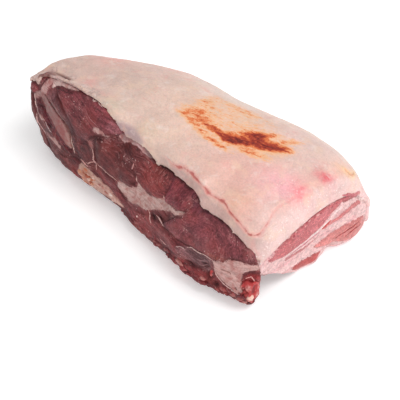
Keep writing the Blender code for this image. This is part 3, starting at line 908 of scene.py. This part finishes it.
def fat_material():
    """Waxy fat under a thin skin, with blushes and the smeared ink."""
    look = Look("outer_fat", roughness=0.45, coat=0.12, coat_roughness=0.25, bleed=0.15, gloss=0.22)
    speckle = look.grain(800, 3.0, 0.7)
    waxy = look.scaled(look.tone, look.grain(60, 5.0, 0.6, 0.4), 0.3, 0.7, 0.94, 1.06)
    waxy = look.scaled(waxy, speckle, 0.3, 0.7, 0.93, 1.07)
    for pattern, low, high, most, cloud in (
        ((95, 4.0), 0.48, 0.7, 0.4, (240, 206, 180)),
        ((130, 5.0, 0.65, 0.5), 0.52, 0.7, 0.4, (238, 220, 214)),
        ((75, 5.0, 0.65, 0.6), 0.54, 0.72, 0.35, (228, 158, 152)),
    ):
        waxy = look.stained(waxy, cloud, look.grain(*pattern), low, high, most)

    # Wrinkles, faint veins, and white grains painted as wet glints
    creases = look.hairlines(look.grain(80, 5.0, 0.6, 0.8), 0.02)
    # Wrinkle lines painted darker, as the shade in them
    waxy = look.mixed(waxy, (168, 134, 130), look.times(creases, look.kept("wrinkles")))
    veins = look.hairlines(look.grain(38, 4.0, 0.55, 1.2), 0.006)
    where = look.between(look.grain(40, 2.0), 0.5, 0.65, 0.0, 0.4)
    waxy = look.mixed(waxy, (214, 132, 130), look.times(veins, where))
    grains = look.between(look.grain(1000, 2.0), 0.6, 0.68)
    waxy = look.mixed(waxy, (255, 240, 238), look.times(grains, look.kept("grains")))

    # The ink: a halo, then darker where more of it lies
    smear = look.grain(1.0, 4.0, 0.7, 0.8, look.kept("smear", "Vector"))
    streaks = look.plus(look.swing(smear, 2.6), look.swing(look.grain(420, 5.0, 0.75), 1.8))
    ink = look.kept("ink")
    colour = look.stained(waxy, (248, 206, 164), ink, 0.1, 0.6, 0.4)
    uneven = look.times(streaks, look.between(ink, 0.03, 0.2))
    ink = look.calc("MULTIPLY_ADD", uneven, 0.42, ink)
    for low, high, most, brown in (
        (0.14, 0.5, 0.75, (240, 176, 124)),
        (0.42, 0.64, 1.0, (222, 118, 66)),
        (0.62, 0.84, 1.0, (170, 60, 40)),
        (0.82, 1.05, 1.0, (112, 34, 28)),
    ):
        colour = look.stained(colour, brown, ink, low, high, most)

    # The pink cut edge, and painted shade in the slits and under the lower edge
    groove = look.plus(look.kept("groove"), look.swing(look.grain(160, 3.0), 2.4))
    colour = look.mixed(colour, (228, 150, 144), look.between(groove, 0.6, 2.6, 0.45, 0.0))
    colour = look.mixed(colour, (192, 92, 86), look.between(groove, 0.1, 1.1, 0.8, 0.0))
    colour = look.mixed(colour, (84, 38, 38), look.kept("dark"))
    relief = look.plus(look.grain(260, 4.0, 0.6, 0.5), speckle)
    relief = look.calc("SUBTRACT", relief, look.times(creases, 0.5))
    return look.done(colour, relief, strength=0.4, distance=0.7)


def bone_material():
    """Cut bone: pink, porous, with a paler rim."""
    look = Look("cut_bone", roughness=0.45, coat=0.08, coat_roughness=0.25, bleed=0.1, gloss=0.15)
    pores = look.grain(500, 4.0, 0.7)
    colour = look.stained(look.tone, (150, 50, 50), pores, 0.45, 0.7, 0.6)
    colour = look.stained(colour, (228, 186, 178), pores, 0.4, 0.25, 0.6)
    return look.done(colour, pores, strength=0.5, distance=0.6)


def tissue_material():
    """Wet shreds and lines of tissue in their own colours."""
    look = Look("tissue", roughness=0.38, coat=0.2, coat_roughness=0.2, bleed=0.1, gloss=0.22)
    fine = look.grain(700, 3.0, 0.7)
    colour = look.scaled(look.tone, fine, 0.3, 0.7, 0.75, 1.25)
    return look.done(colour, fine, strength=0.5, distance=0.4)


# ---------------------------------------------------------------- the lean


def blend_colours(base, layers):
    """One colour for each point, from a base and (share, colour) layers."""
    tone = np.tile(linear(base), (len(layers[0][0]), 1))
    for share, colour in layers:
        tone += (linear(colour) - tone) * share[:, None]
    return tone


def turned(flat, angle):
    """How far places in a plane lie along and across a direction in degrees."""
    turn = radians(angle)
    along = flat[:, 0] * cos(turn) + flat[:, 1] * sin(turn)
    across = flat[:, 1] * cos(turn) - flat[:, 0] * sin(turn)
    return along, across


def fibre_places(flat, depth, angle):
    """Places stretched along fibres that run at an angle."""
    along, across = turned(flat, angle)
    return np.column_stack([along * 0.09, across * 0.75, depth * 0.3])


def fuller_left(points):
    """Rounds out the near corner of the left end, most of all at the top."""
    x, y, z = points.T
    corner = soft(-x, 82, 98) * soft(-y, 8, 32)
    upper = corner * soft(z, 46, 56)
    lower = corner * soft(z, 15, 28) * (1 - 0.7 * soft(z, 34, 48))
    return points + upper[:, None] * (-2.2, -0.4, 0.6) + lower[:, None] * (-1.9, -1.4, 0.0)


def shaped(points):
    """Moves the surface where the solids are plainer than the real thing."""
    x, y, z = points.T.copy()
    corner = soft(x, 90, 103) * soft(y, 34, 50) * np.interp(z, CORNER_Z, CORNER_OUT)
    # The far side next to the far right corner, and the lower front edge
    y -= 4.2 * soft(y, 54, 59) * soft(x, 88, 98) * soft(z, 12, 22)
    y -= 3.4 * soft(x, -14, 8) * soft(-x, -42, -24) * soft(-z, -17, -6) * soft(-y, 42, 50)
    # The far right corner, and a hollow and a swell at the foot of the right end
    foot = soft(x, 94, 102) * (0.3 + 0.7 * soft(-z, -14, -5))
    x += 0.68 * corner
    y += 0.73 * corner
    x -= 3.5 * bell(y - 20, 6) * foot * soft(-z, -22, -12)
    x += 2.0 * bell(y - 3, 6) * foot * soft(-z, -12, -5)
    return np.column_stack([x, y, z])


def left_shade(points):
    """Painted shade: how much darker the meat is made towards the lower left, where less light
    falls.
    """
    x, _, z = points.T
    return 0.24 * soft(-x, 0, 55) * soft(-z, -56, -44)


def make_lean():
    """The muscle body with all that shows on its cuts."""
    skin = fine_skin("lean", "lean_shoulder", LEAN_GRID, RELAX_ROUNDS)
    # Finer on the front cut and on the right end
    skin.refine(
        lambda at, facing: (facing[:, 1] < -0.25) & (at[:, 1] < -36)
        | (facing[:, 0] > 0.35) & (at[:, 0] > 90) & (at[:, 2] > 0.5)
    )
    normals = skin.normals()
    points = skin.points
    x, y, z = points.T
    front_view = points[:, [0, 2]]
    warp = uneven(points, 7, 11, 12)
    fine_warp = uneven(points, 2.5, 13, 14)
    warped = front_view + 0.8 * warp + 0.3 * fine_warp
    # How far each point belongs to the right end, the front cut, the left end or the rest
    end = soft(normals[:, 0], 0.35, 0.7) * soft(x, 92, 97) * soft(y, -43.4, -40.4)
    corner = soft(x, 90, 95) * soft(-y, 40.4, 43.4) * soft(normals[:, 0], -0.2, 0.2)
    front = soft(-normals[:, 1], 0.1, 0.45) * soft(-y, 30, 38)
    front = np.maximum(front * (1 - end), corner)
    left = soft(-normals[:, 0], 0.35, 0.7) * soft(-x, 60, 80)
    elsewhere = 1 - np.maximum(front, end)

    # Muscles, with painted shade in the seams between them
    height = np.zeros(len(points))
    closest = np.full(len(points), -FAR)
    layers = [(soft(-z, -14, -6) * 0.6, FOOT_RED)]
    fibre = fibre_places(front_view, y, -6)
    for name, (outline, swell, rim, colour, angle) in MUSCLES.items():
        depth = inside_depth(warped, outline)
        share = soft(depth, -0.5, SOFT_EDGES.get(name, SHARP_EDGE))
        height = np.maximum(height, swell * dome(depth, rim) * front)
        closest = np.maximum(closest, depth)
        layers.append((share, colour))
        run = fibre_places(front_view, y, angle)
        if name == "loin":
            away = front_view - LOIN_WHORL
            ring = np.hypot(*away.T) + 3.0 * warp[:, 0] + 1.2 * fine_warp[:, 1]
            bend = np.arctan2(away[:, 1], away[:, 0]) * 0.9
            run = 0.5 * (run + np.column_stack([bend, ring * 0.7, y * 0.3]))
        fibre += (run - fibre) * share[:, None]
    painted_seam_shade = bell(closest, 0.8) * front * (0.5 - 0.35 * soft(x, 90, 96))
    layers.append((painted_seam_shade, PAINTED_SEAM_SHADE))
    for outline, colour, strength in FILMS.values():
        depth = inside_depth(warped, outline)
        layers.append((soft(depth, -1.2, 1.0) * strength * front, colour))

    # Pale tissue on the front cut, and on the sides that the view doesn't show
    pale = np.full(len(points), -FAR)
    pale_layers = []
    for name, (outline, colour, swell) in PALE_FRONT.items():
        depth = inside_depth(warped, outline)
        shown = np.where(front > 0.2, depth * CLEAN_EDGES.get(name, 1.0), -FAR)
        height += swell * dome(depth, 1.5) * front
        pale = np.maximum(pale, shown)
        pale_layers.append((soft(depth, -2.5, -1.0), colour))
    wild = 4 * layered(points, 24, 15, 4) - 1.6
    pale = np.where(elsewhere > 0.6, wild, pale)

    # Layers of the right end
    end_warped = points[:, [1, 2]] + 0.7 * uneven(points, 6, 21, 22) + 0.35 * fine_warp
    end_pale = np.full(len(points), FAR)
    end_height = np.zeros(len(points))
    for outline, colour, swell in END_LAYERS.values():
        depth = inside_depth(end_warped, outline)
        end_height = np.maximum(end_height, swell * dome(depth, 2.2))
        end_pale = np.minimum(end_pale, -depth)
        layers.append((soft(depth, -1, 0) * end, colour))
    height += (end_height - height) * end
    at_end = end > 0.35
    pale = np.where(at_end, end_pale * 1.5, pale)
    stain = np.where(at_end, 0.35, 1.0)
    bands = soft(layered(end_warped * (0.18, 1), 2.4, 23), 0.0, 0.5)
    blood = np.hypot(x - BLOOD_SPOT[0], z - BLOOD_SPOT[1]) + 1.5 * warp[:, 1]
    pale_layers.append((0.55 * front * soft(-blood, -7, -2), BLOOD_STAIN))
    pale_layers.append((soft(end, 0.2, 0.4), END_BASE))
    pale_layers.append((bands * end * 0.6, END_BANDS))
    far_corner = soft(x, 88, 96) * soft(y, 38, 44) * soft(z, 16, 20)
    pale = np.where((far_corner > 0.3) & ~at_end, FAR, pale)
    pale_layers.append((soft(far_corner, 0.1, 0.3), END_BASE))
    end_fibre = points * (0.9, 0.45, 0.9)
    fibre += (end_fibre - fibre) * soft(end)[:, None]

    # Painted shade under the edge of the fat and in deep places, which are also carved
    hem = near_line(front_view + 0.4 * fine_warp, FAT_HEM, 4.0, 5)
    lip = front * soft(z, 26, 32)
    shade = np.interp(x, *zip(*HEM_SHADE))
    dark = soft(-hem - 0.5 * fine_warp[:, 0], -1.6, -0.1) * lip * shade
    height -= soft(-hem, -2.2, -0.3) * lip * (0.3 * soft(x, -84, -74) + shade)
    for at_x, at_z, half_x, half_z, deep in HOLES:
        inside = ((warped[:, 0] - at_x) / half_x) ** 2 + ((warped[:, 1] - at_z) / half_z) ** 2
        hollow = np.exp(-inside * 1.2) * front
        height -= deep * hollow
        dark = np.maximum(dark, 0.85 * hollow)

    # Uneven relief, which is rough at the foot and gone at the table
    ragged = front * soft(-z, -18, -10) * soft(x, 20, 60)
    height += front * 0.22 * layered(points * (0.35, 1, 1), 3.5, 3)
    height += front * 0.45 * layered(points, 9, 4)
    height += ragged * (1.3 * layered(points, 5, 5) + 0.4 * layered(points, 2.2, 8))
    height += front * soft(-z, -22, -8) * 0.5 * layered(points, 4, 9)
    height += end * (0.5 * layered(points * (1, 0.5, 1), 4, 6) + 0.25 * layered(points, 1.8, 10))
    height += left * 0.9 * layered(points * (1, 0.5, 1), 6, 7)
    height += 0.6 * soft(-x, 98, 106) * bell(z - 43, 8) * soft(-y, 20, 40)
    height *= soft(z, 0.2, 2.5)
    clots = front * soft(-z, -20, -12) * soft(x, 35, 55)
    layers.append((soft(layered(points, 6, 16), 0.05, 0.4) * clots * 0.7, (152, 54, 56)))
    layers.append((soft(layered(points, 5, 17), 0.1, 0.45) * clots * 0.7, (82, 26, 32)))

    # Painted shade towards the lower left
    painted_dimming = 1 - left_shade(points)[:, None]
    tone = blend_colours(MUSCLE_BASE, layers) * painted_dimming
    pale_tone = blend_colours(PALE_BASE, pale_layers) * painted_dimming
    skin.store(tone=tone, pale_tone=pale_tone, pale=pale, stain=stain)
    skin.store(dark=dark, end=end, fibre=fibre)
    skin.points = shaped(points + normals * height[:, None])
    return skin.piece(lean_material(), "lean", "lean_shoulder")


def surface_finder(*things):
    """The surfaces of the things as one tree for ray casts."""
    vertices = []
    faces = []
    for thing in things:
        first = len(vertices)
        vertices += [v.co for v in thing.data.vertices]
        faces += [[first + k for k in p.vertices] for p in thing.data.polygons]
    return BVHTree.FromPolygons(vertices, faces)


class Scraps:
    """Many small bits of tissue that become one mesh."""

    def __init__(self):
        self.vertices = []
        self.faces = []
        self.tones = []

    def ribbon(self, placed, half_width, colour, thickness, seed):
        """A flat, tapered strip along (place, normal) pairs."""
        first = len(self.vertices)
        last = len(placed) - 1
        for k, (spot, normal) in enumerate(placed):
            ahead = (placed[min(k + 1, last)][0] - placed[max(k - 1, 0)][0]).normalized()
            side = ahead.cross(normal).normalized()
            ends = sin(pi * (k + 0.4) / (last + 0.8)) ** 0.5
            swell = 1 + 0.5 * LATTICE[(k * 7 + seed * 53) % len(LATTICE)]
            for j in range(RIBBON_SIDES):
                angle = 2 * pi * j / RIBBON_SIDES
                across = side * cos(angle) * half_width * ends * swell
                up = normal * (sin(angle) * thickness * ends * swell + 0.05)
                self.vertices.append((spot + across + up) * MM)
        for k in range(last):
            for j in range(RIBBON_SIDES):
                a = first + k * RIBBON_SIDES + j
                b = first + k * RIBBON_SIDES + (j + 1) % RIBBON_SIDES
                self.faces.append((a, b, b + RIBBON_SIDES, a + RIBBON_SIDES))
        end = len(self.vertices)
        self.faces.append(tuple(range(first + RIBBON_SIDES - 1, first - 1, -1)))
        self.faces.append(tuple(range(end - RIBBON_SIDES, end)))
        self.tones += [linear(colour)] * (end - first)

    def lump(self, middle, radii, colour, seed, rough):
        """A rounded uneven bit."""
        ball = bmesh.new()
        bmesh.ops.create_icosphere(ball, subdivisions=3, radius=1)
        shape = np.array([v.co for v in ball.verts])
        rounds = [[v.index for v in f.verts] for f in ball.faces]
        ball.free()
        shape *= 1 + rough * layered(shape + seed, 0.8, 81)[:, None]
        first = len(self.vertices)
        self.vertices += [Vector(p) * MM for p in middle + shape * radii]
        self.faces += [[first + k for k in loop] for loop in rounds]
        self.tones += [linear(colour)] * len(shape)

    def piece(self, name, slot):
        """Makes the shown piece."""
        mesh = bpy.data.meshes.new(name)
        mesh.from_pydata(self.vertices, [], self.faces)
        mesh.update()
        skin = Skin(name, mesh)
        skin.store(tone=np.array(self.tones))
        return skin.piece(tissue_material(), slot)


def found_at(surface, start, towards):
    """Where a ray first meets a surface, with the normal there, or nothing."""
    hit = surface.ray_cast(Vector(start) * MM, Vector(towards))
    return (hit[0] / MM, hit[1]) if hit[0] is not None else None


def on_front(surface, x, z):
    """The place and normal on the front cut."""
    return found_at(surface, (x, FRONT_START, z), (0, 1, 0))


def on_end(surface, y, z):
    """The place and normal on the right end."""
    return found_at(surface, (END_START, y, z), (-1, 0, 0))


def make_lines(lean, fat):
    """Thin lines of tissue that lie on the front cut and on the right end."""
    surface = surface_finder(lean, fat)
    scraps = Scraps()
    for number, (route, half_width, colour) in enumerate(SINEWS + END_LINES + SEAM_LINES):
        at_front = number < len(SINEWS)
        line = smooth_line(route, False, 8)
        wobble = np.column_stack([noise(line, 2.5, 31 + number), noise(line, 2.5, 61 + number)])
        placed = []
        for u, v in line + 0.4 * wobble:
            found = on_front(surface, u, v) if at_front else on_end(surface, u, v)
            if found and not (placed and (found[0] - placed[-1][0]).length > LONGEST_STEP):
                placed.append(found)
        if len(placed) > 2:
            scraps.ribbon(placed, half_width, colour, thickness=0.3, seed=number)
    return scraps.piece("tissue_lines", "lean")


def make_scraps(lean, fat):
    """Ragged bits of meat along the foot, and shreds under the fat and on the right end."""
    surface = surface_finder(lean)
    end_surface = surface_finder(lean, fat)
    random = np.random.default_rng(SEED + 1)
    scraps = Scraps()
    number = 0
    for count, across, between_z, fall, sizes, colours in LOOSE:
        for _ in range(count):
            number += 1
            at_x = random.uniform(*across)
            drop = fall * (at_x - across[0]) / (across[1] - across[0])
            found = on_front(surface, at_x, random.uniform(*between_z) - drop)
            size = random.uniform(*sizes)
            turn = random.uniform(0.8, 2.0)
            if found:
                middle = np.array(found[0] - found[1] * size * 0.45)
                middle[2] = max(middle[2], size * 0.8)
                radii = (size * turn, size, size * 0.7)
                scraps.lump(middle, radii, colours[number % len(colours)], seed=number, rough=0.4)
    for number in range(SHREDS):
        at_x = random.uniform(*SHREDS_ACROSS)
        top = np.interp(at_x, *zip(*FAT_HEM)) - random.uniform(0, 1.2)
        drop = random.uniform(0.8, 2.3)
        aside = random.uniform(-0.9, 0.9)
        route = [
            on_front(surface, at_x + aside * t, top - drop * t) for t in np.linspace(0, 1, 6)
        ]
        if all(route):
            colour = SHRED_COLOURS[number % len(SHRED_COLOURS)]
            half_width = random.uniform(0.12, 0.26)
            scraps.ribbon(route, half_width, colour, thickness=0.2, seed=number)
    for number in range(LENS_SHREDS):
        at_y = random.uniform(*LENS_ACROSS)
        at_z = np.interp(at_y, *zip(*LENS_TOP)) + random.uniform(-0.9, 0.7)
        size = random.uniform(0.4, 0.9)
        found = on_end(end_surface, at_y, at_z)
        if found:
            middle = np.array(found[0] - found[1] * size * 0.4)
            radii = (size * 0.8, size * 1.6, size)
            colour = LENS_COLOURS[number % len(LENS_COLOURS)]
            scraps.lump(middle, radii, colour, seed=number + 200, rough=0.4)
    for middle, radii, colour in NUBS:
        scraps.lump(np.array(middle), radii, colour, seed=len(scraps.faces), rough=0.2)
    return scraps.piece("scraps", "lean")


# ---------------------------------------------------------------- the fat


def make_fat():
    """The outer fat with the cut fell, blushes and the ink mark."""
    skin = fine_skin("fat", "fat_cap", FAT_GRID, RELAX_ROUNDS)
    # Finer where it faces up, to the front or to the right
    skin.refine(
        lambda at, facing: (facing @ np.array((0.5, -0.6, 1.0)) > -0.1) & (at[:, 1] < 48)
    )
    normals = skin.normals()
    points = skin.points
    x, y, z = points.T
    rough = uneven(points, 2.5, 46, 47, 48)
    # Where the fat faces out, its far side, the fell's cut edge and the fat's lower edge
    outside = soft(normals @ np.array((0.2, -0.25, 1.0)), -0.35, 0.1)
    far = soft(y, 20, 50)
    groove = near_line(points + 0.8 * rough, FELL_GROOVE, 8.0)
    line_fade = soft(x, 2, 24) * (1 - 0.3 * soft(y, -37, -31))
    band = soft(-y, 38, 41.5) * soft(-normals[:, 1], 0.3, 0.75)
    hem = near_line(points[:, [0, 2]], FAT_HEM, FAR, 5) + FAR * (y > -34)
    below = soft(groove, 0.5, 1.5) * soft(-hem, -9, -6) * line_fade

    # Low unevenness, a groove with a lip along the cut edge, and a ragged lower edge
    height = 0.4 * layered(points, 26, 44) + 0.3 * layered(points, 8, 45)
    height += 0.12 * layered(points, 2.5, 46)
    height -= 0.5 * bell(groove, 0.6) * line_fade
    height += 0.35 * bell(groove - 1.6, 0.9) * line_fade
    height += 0.6 * soft(-hem, -3.0, -0.5) * band * layered(points, 3.0, 53)
    height *= np.maximum(outside, far)
    height += 0.8 * (1 - outside) * np.maximum(soft(x, 90, 96), soft(-x, 76, 84))

    # Tints: from the table, below the cut edge, on the ends, in the fold with painted shade round
    # its slit, and in the crease
    layers = []
    wander = uneven(points, 9, 54, 55)
    for at_x, at_y, reach, colour in FAT_TINTS:
        away = np.hypot(*(points[:, :2] + 0.12 * reach * wander - (at_x, at_y)).T)
        patchy = 1 if reach > 10 else 0.8 + 0.6 * layered(points, 3.5, 56)
        layers.append((np.clip(bell(away, reach) * patchy, 0, 1), colour))
    layers.append((below * 0.8, (198, 164, 157)))
    end = soft(normals[:, 0], 0.35, 0.6) * soft(x, 96, 100)
    layers.append((end * 0.8, (230, 196, 192)))
    fold_x, fold_y, _ = zip(*FOLD)
    under = soft(np.interp(x, fold_x, fold_y) - y, 0.2, 1.4) * soft(-x, 79, 82) * soft(-y, 36, 38)
    layers.append((under * 0.9, (206, 172, 166)))
    layers.append((under * soft(-x, 90, 94) * soft(x, -104.5, -101.5), (126, 78, 74)))
    height -= 0.3 * under
    far_end = soft(x, 92, 98) * soft(y, 40, 46) * soft(-z, -37, -34)
    layers.append((far_end * 0.8, (240, 200, 200)))
    end_view = points[:, [1, 2]] + 0.3 * rough[:, 1:]
    strip = soft(inside_depth(end_view, END_STRIP), -0.2, 0.4) * soft(x, 97, 99.5)
    layers.append((strip, STRIP_ON_FAT))
    bruise = inside_depth(points[:, [0, 2]], BRUISE)
    layers.append((soft(bruise, -2.5, 1.5) * soft(-y, 36, 40) * 0.6, (156, 126, 140)))
    fold = np.minimum(*(near_line(points + 0.5 * rough, k, 8.0) for k in (FOLD, FOLD_FRONT)))
    # Painted shade round the slit
    layers.append((soft(-fold, -3.5, -1.0) * 0.6, (156, 112, 106)))
    height -= 1.2 * bell(fold, 0.9)
    crease = near_line(points + 0.3 * rough, CREASE, 6.0)
    layers.append((soft(-crease, -5.0, -1.0) * 0.6, (238, 200, 152)))
    layers.append((soft(-crease, -1.0, -0.2) * 0.7, (206, 136, 108)))
    height += 0.6 * bell(crease - 1.4, 0.8) - 0.6 * bell(crease, 0.7)
    skin.store(tone=blend_colours(FAT_BASE, layers))

    # The ink: each smear leaves less of the fat bare
    bare = np.ones(len(points))
    smear = points[:, :2] + 1.2 * rough[:, :2]
    for at_x, at_y, half_length, half_width, turn, strength in INK:
        along, across = turned(smear - (at_x, at_y), turn)
        inside = (along / half_length) ** 2 + (across / half_width) ** 2
        bare *= 1 - np.minimum(strength * np.exp(-(inside**1.3)), 0.97)
    skin.store(ink=(1 - bare) * outside)
    # Streaks along the smear, wrinkles at the left and far right, painted glints, and painted shade
    along, across = turned(smear, INK_TURN)
    skin.store(smear=np.column_stack([along * 0.14, across * 0.7, z * 0.1]))
    left_wrinkles = soft(-x, 38, 50) * soft(-hem, -13, -4) * soft(-y, 5, 25)
    right_wrinkles = 0.2 * soft(x, 82, 92) * soft(y, 5, 20)
    skin.store(wrinkles=0.07 + 0.5 * np.maximum(left_wrinkles, right_wrinkles))
    # Painted wet glints near the pink blush and on the right end
    glint_patch = np.exp(-(((x - 88) / 9) ** 2) - ((y + 7) / 8) ** 2)
    skin.store(grains=0.7 * np.maximum(glint_patch, end))
    skin.store(groove=groove + 3 * (1 - line_fade) + 0.5 * rough[:, 0])
    edge_shade = soft(-hem, -0.9, -0.1) * soft(-normals[:, 2], -0.1, 0.4) * 0.5 * soft(-x, -92, -84)
    painted_slit_shade = bell(fold, 1.0) * (0.85 + 0.4 * rough[:, 0])
    skin.store(dark=np.clip(np.maximum(edge_shade, painted_slit_shade), 0, 1))
    # The lip of the upper left corner hangs down, with its edge drawn in
    draped = soft(-x, 101, 106) * soft(-y, 34, 41)
    hang = draped[:, None] * (-0.1, 0.0, -2.3)
    hang += (draped * soft(-z, -56, -53.2))[:, None] * (1.1, 0.9, 0)
    hang += (draped * soft(z, 54.5, 57))[:, None] * (-0.9, -0.8, 0)
    skin.points = shaped(points + normals * height[:, None] + hang)
    return skin.piece(fat_material(), "fat", "fat_cap")


def make_bones():
    """The cut blade bone and the rough bone end in the corner."""
    material = bone_material()
    blade = fine_skin("blade", "blade_bone", BONE_GRID, BONE_ROUNDS)
    normals = blade.normals()
    grey = soft(-blade.points[:, 0], 70, 86)
    rim = soft(blade.points[:, 2] + blade.points[:, 0] * 0.9, -27, -22)
    edge = np.interp(blade.points[:, 0], *zip(*BLADE_EDGE))
    meaty = soft(edge + 0.5 * layered(blade.points, 3, 73) - blade.points[:, 2], -0.3, 0.5)
    top = np.interp(blade.points[:, 0], *zip(*BLADE_TOP))
    covered = soft(blade.points[:, 2] + 0.4 * layered(blade.points, 3, 74) - top, 0.0, 0.6)
    tip = soft(blade.points[:, 0], -69, -61)
    layers = [
        (grey, (158, 118, 115)),
        (rim * 0.6, (196, 148, 142)),
        (tip * 0.7, (200, 162, 152)),
        (covered, (112, 68, 70)),
        (meaty, (96, 40, 48)),
    ]
    # Painted shade towards the lower left
    painted_dimming = 1 - left_shade(blade.points)[:, None]
    blade.store(tone=blend_colours(BLADE_BASE, layers) * painted_dimming)
    blade.points += normals * (0.3 * layered(blade.points, 3, 71))[:, None]
    blade.piece(material, "bone", "blade_bone")

    end = fine_skin("bone_end", "corner_bone", BONE_GRID, BONE_ROUNDS)
    normals = end.normals()
    lumps = layered(end.points * (1, 1, 0.5), 3.0, 72)
    layers = [
        (soft(lumps, 0.1, 0.5) * 0.8, (226, 170, 162)),
        (soft(-lumps, 0.1, 0.5) * 0.8, (112, 24, 28)),
    ]
    end.store(tone=blend_colours(CORNER_BONE_BASE, layers))
    end.points += normals * (1.5 * lumps)[:, None]
    end.piece(material, "bone", "corner_bone")


# ---------------------------------------------------------------- stage


def aimed(name, data, place, back):
    """A lamp or camera at a place, which looks away from the direction back."""
    holder = bpy.data.objects.new(name, data)
    bpy.context.scene.collection.objects.link(holder)
    holder.location = place
    holder.rotation_mode = "QUATERNION"
    holder.rotation_quaternion = (-back).to_track_quat("-Z", "Y")
    return holder


def make_stage():
    """Pale floor, soft light and the camera."""
    bpy.ops.mesh.primitive_plane_add(size=FLOOR_SIZE)
    floor = bpy.context.object
    floor.name = "floor"
    values = {
        "Base Color": FLOOR_TONE,
        "Roughness": FLOOR_ROUGHNESS,
        "Emission Color": WHITE,
        "Emission Strength": FLOOR_GLOW,
    }
    floor.data.materials.append(plain_material("floor", values)[0])

    scene = bpy.context.scene
    scene.view_settings.view_transform = "Standard"
    world = bpy.data.worlds.new("studio")
    scene.world = world
    world.use_nodes = True
    sky = world.node_tree.nodes["Background"]
    sky.inputs["Color"].default_value = WHITE
    sky.inputs["Strength"].default_value = SKY_STRENGTH
    for name, (power, size, place) in LIGHTS.items():
        lamp = bpy.data.lights.new(name, "AREA")
        lamp.energy = power
        lamp.size = size
        aimed(name, lamp, place, Vector(place))

    turn = radians(VIEW_AZIMUTH)
    rise = radians(VIEW_ELEVATION)
    back = Vector((sin(turn) * cos(rise), -cos(turn) * cos(rise), sin(rise)))
    data = bpy.data.cameras.new("camera")
    data.lens = LENS
    data.sensor_width = SENSOR
    data.clip_start = NEAREST
    place = (Vector(VIEW_TARGET) + back * VIEW_DISTANCE) * MM
    scene.camera = aimed("camera", data, place, back)


make_stage()
lean_piece = make_lean()
fat_piece = make_fat()
make_lines(lean_piece, fat_piece)
make_scraps(lean_piece, fat_piece)
make_bones()
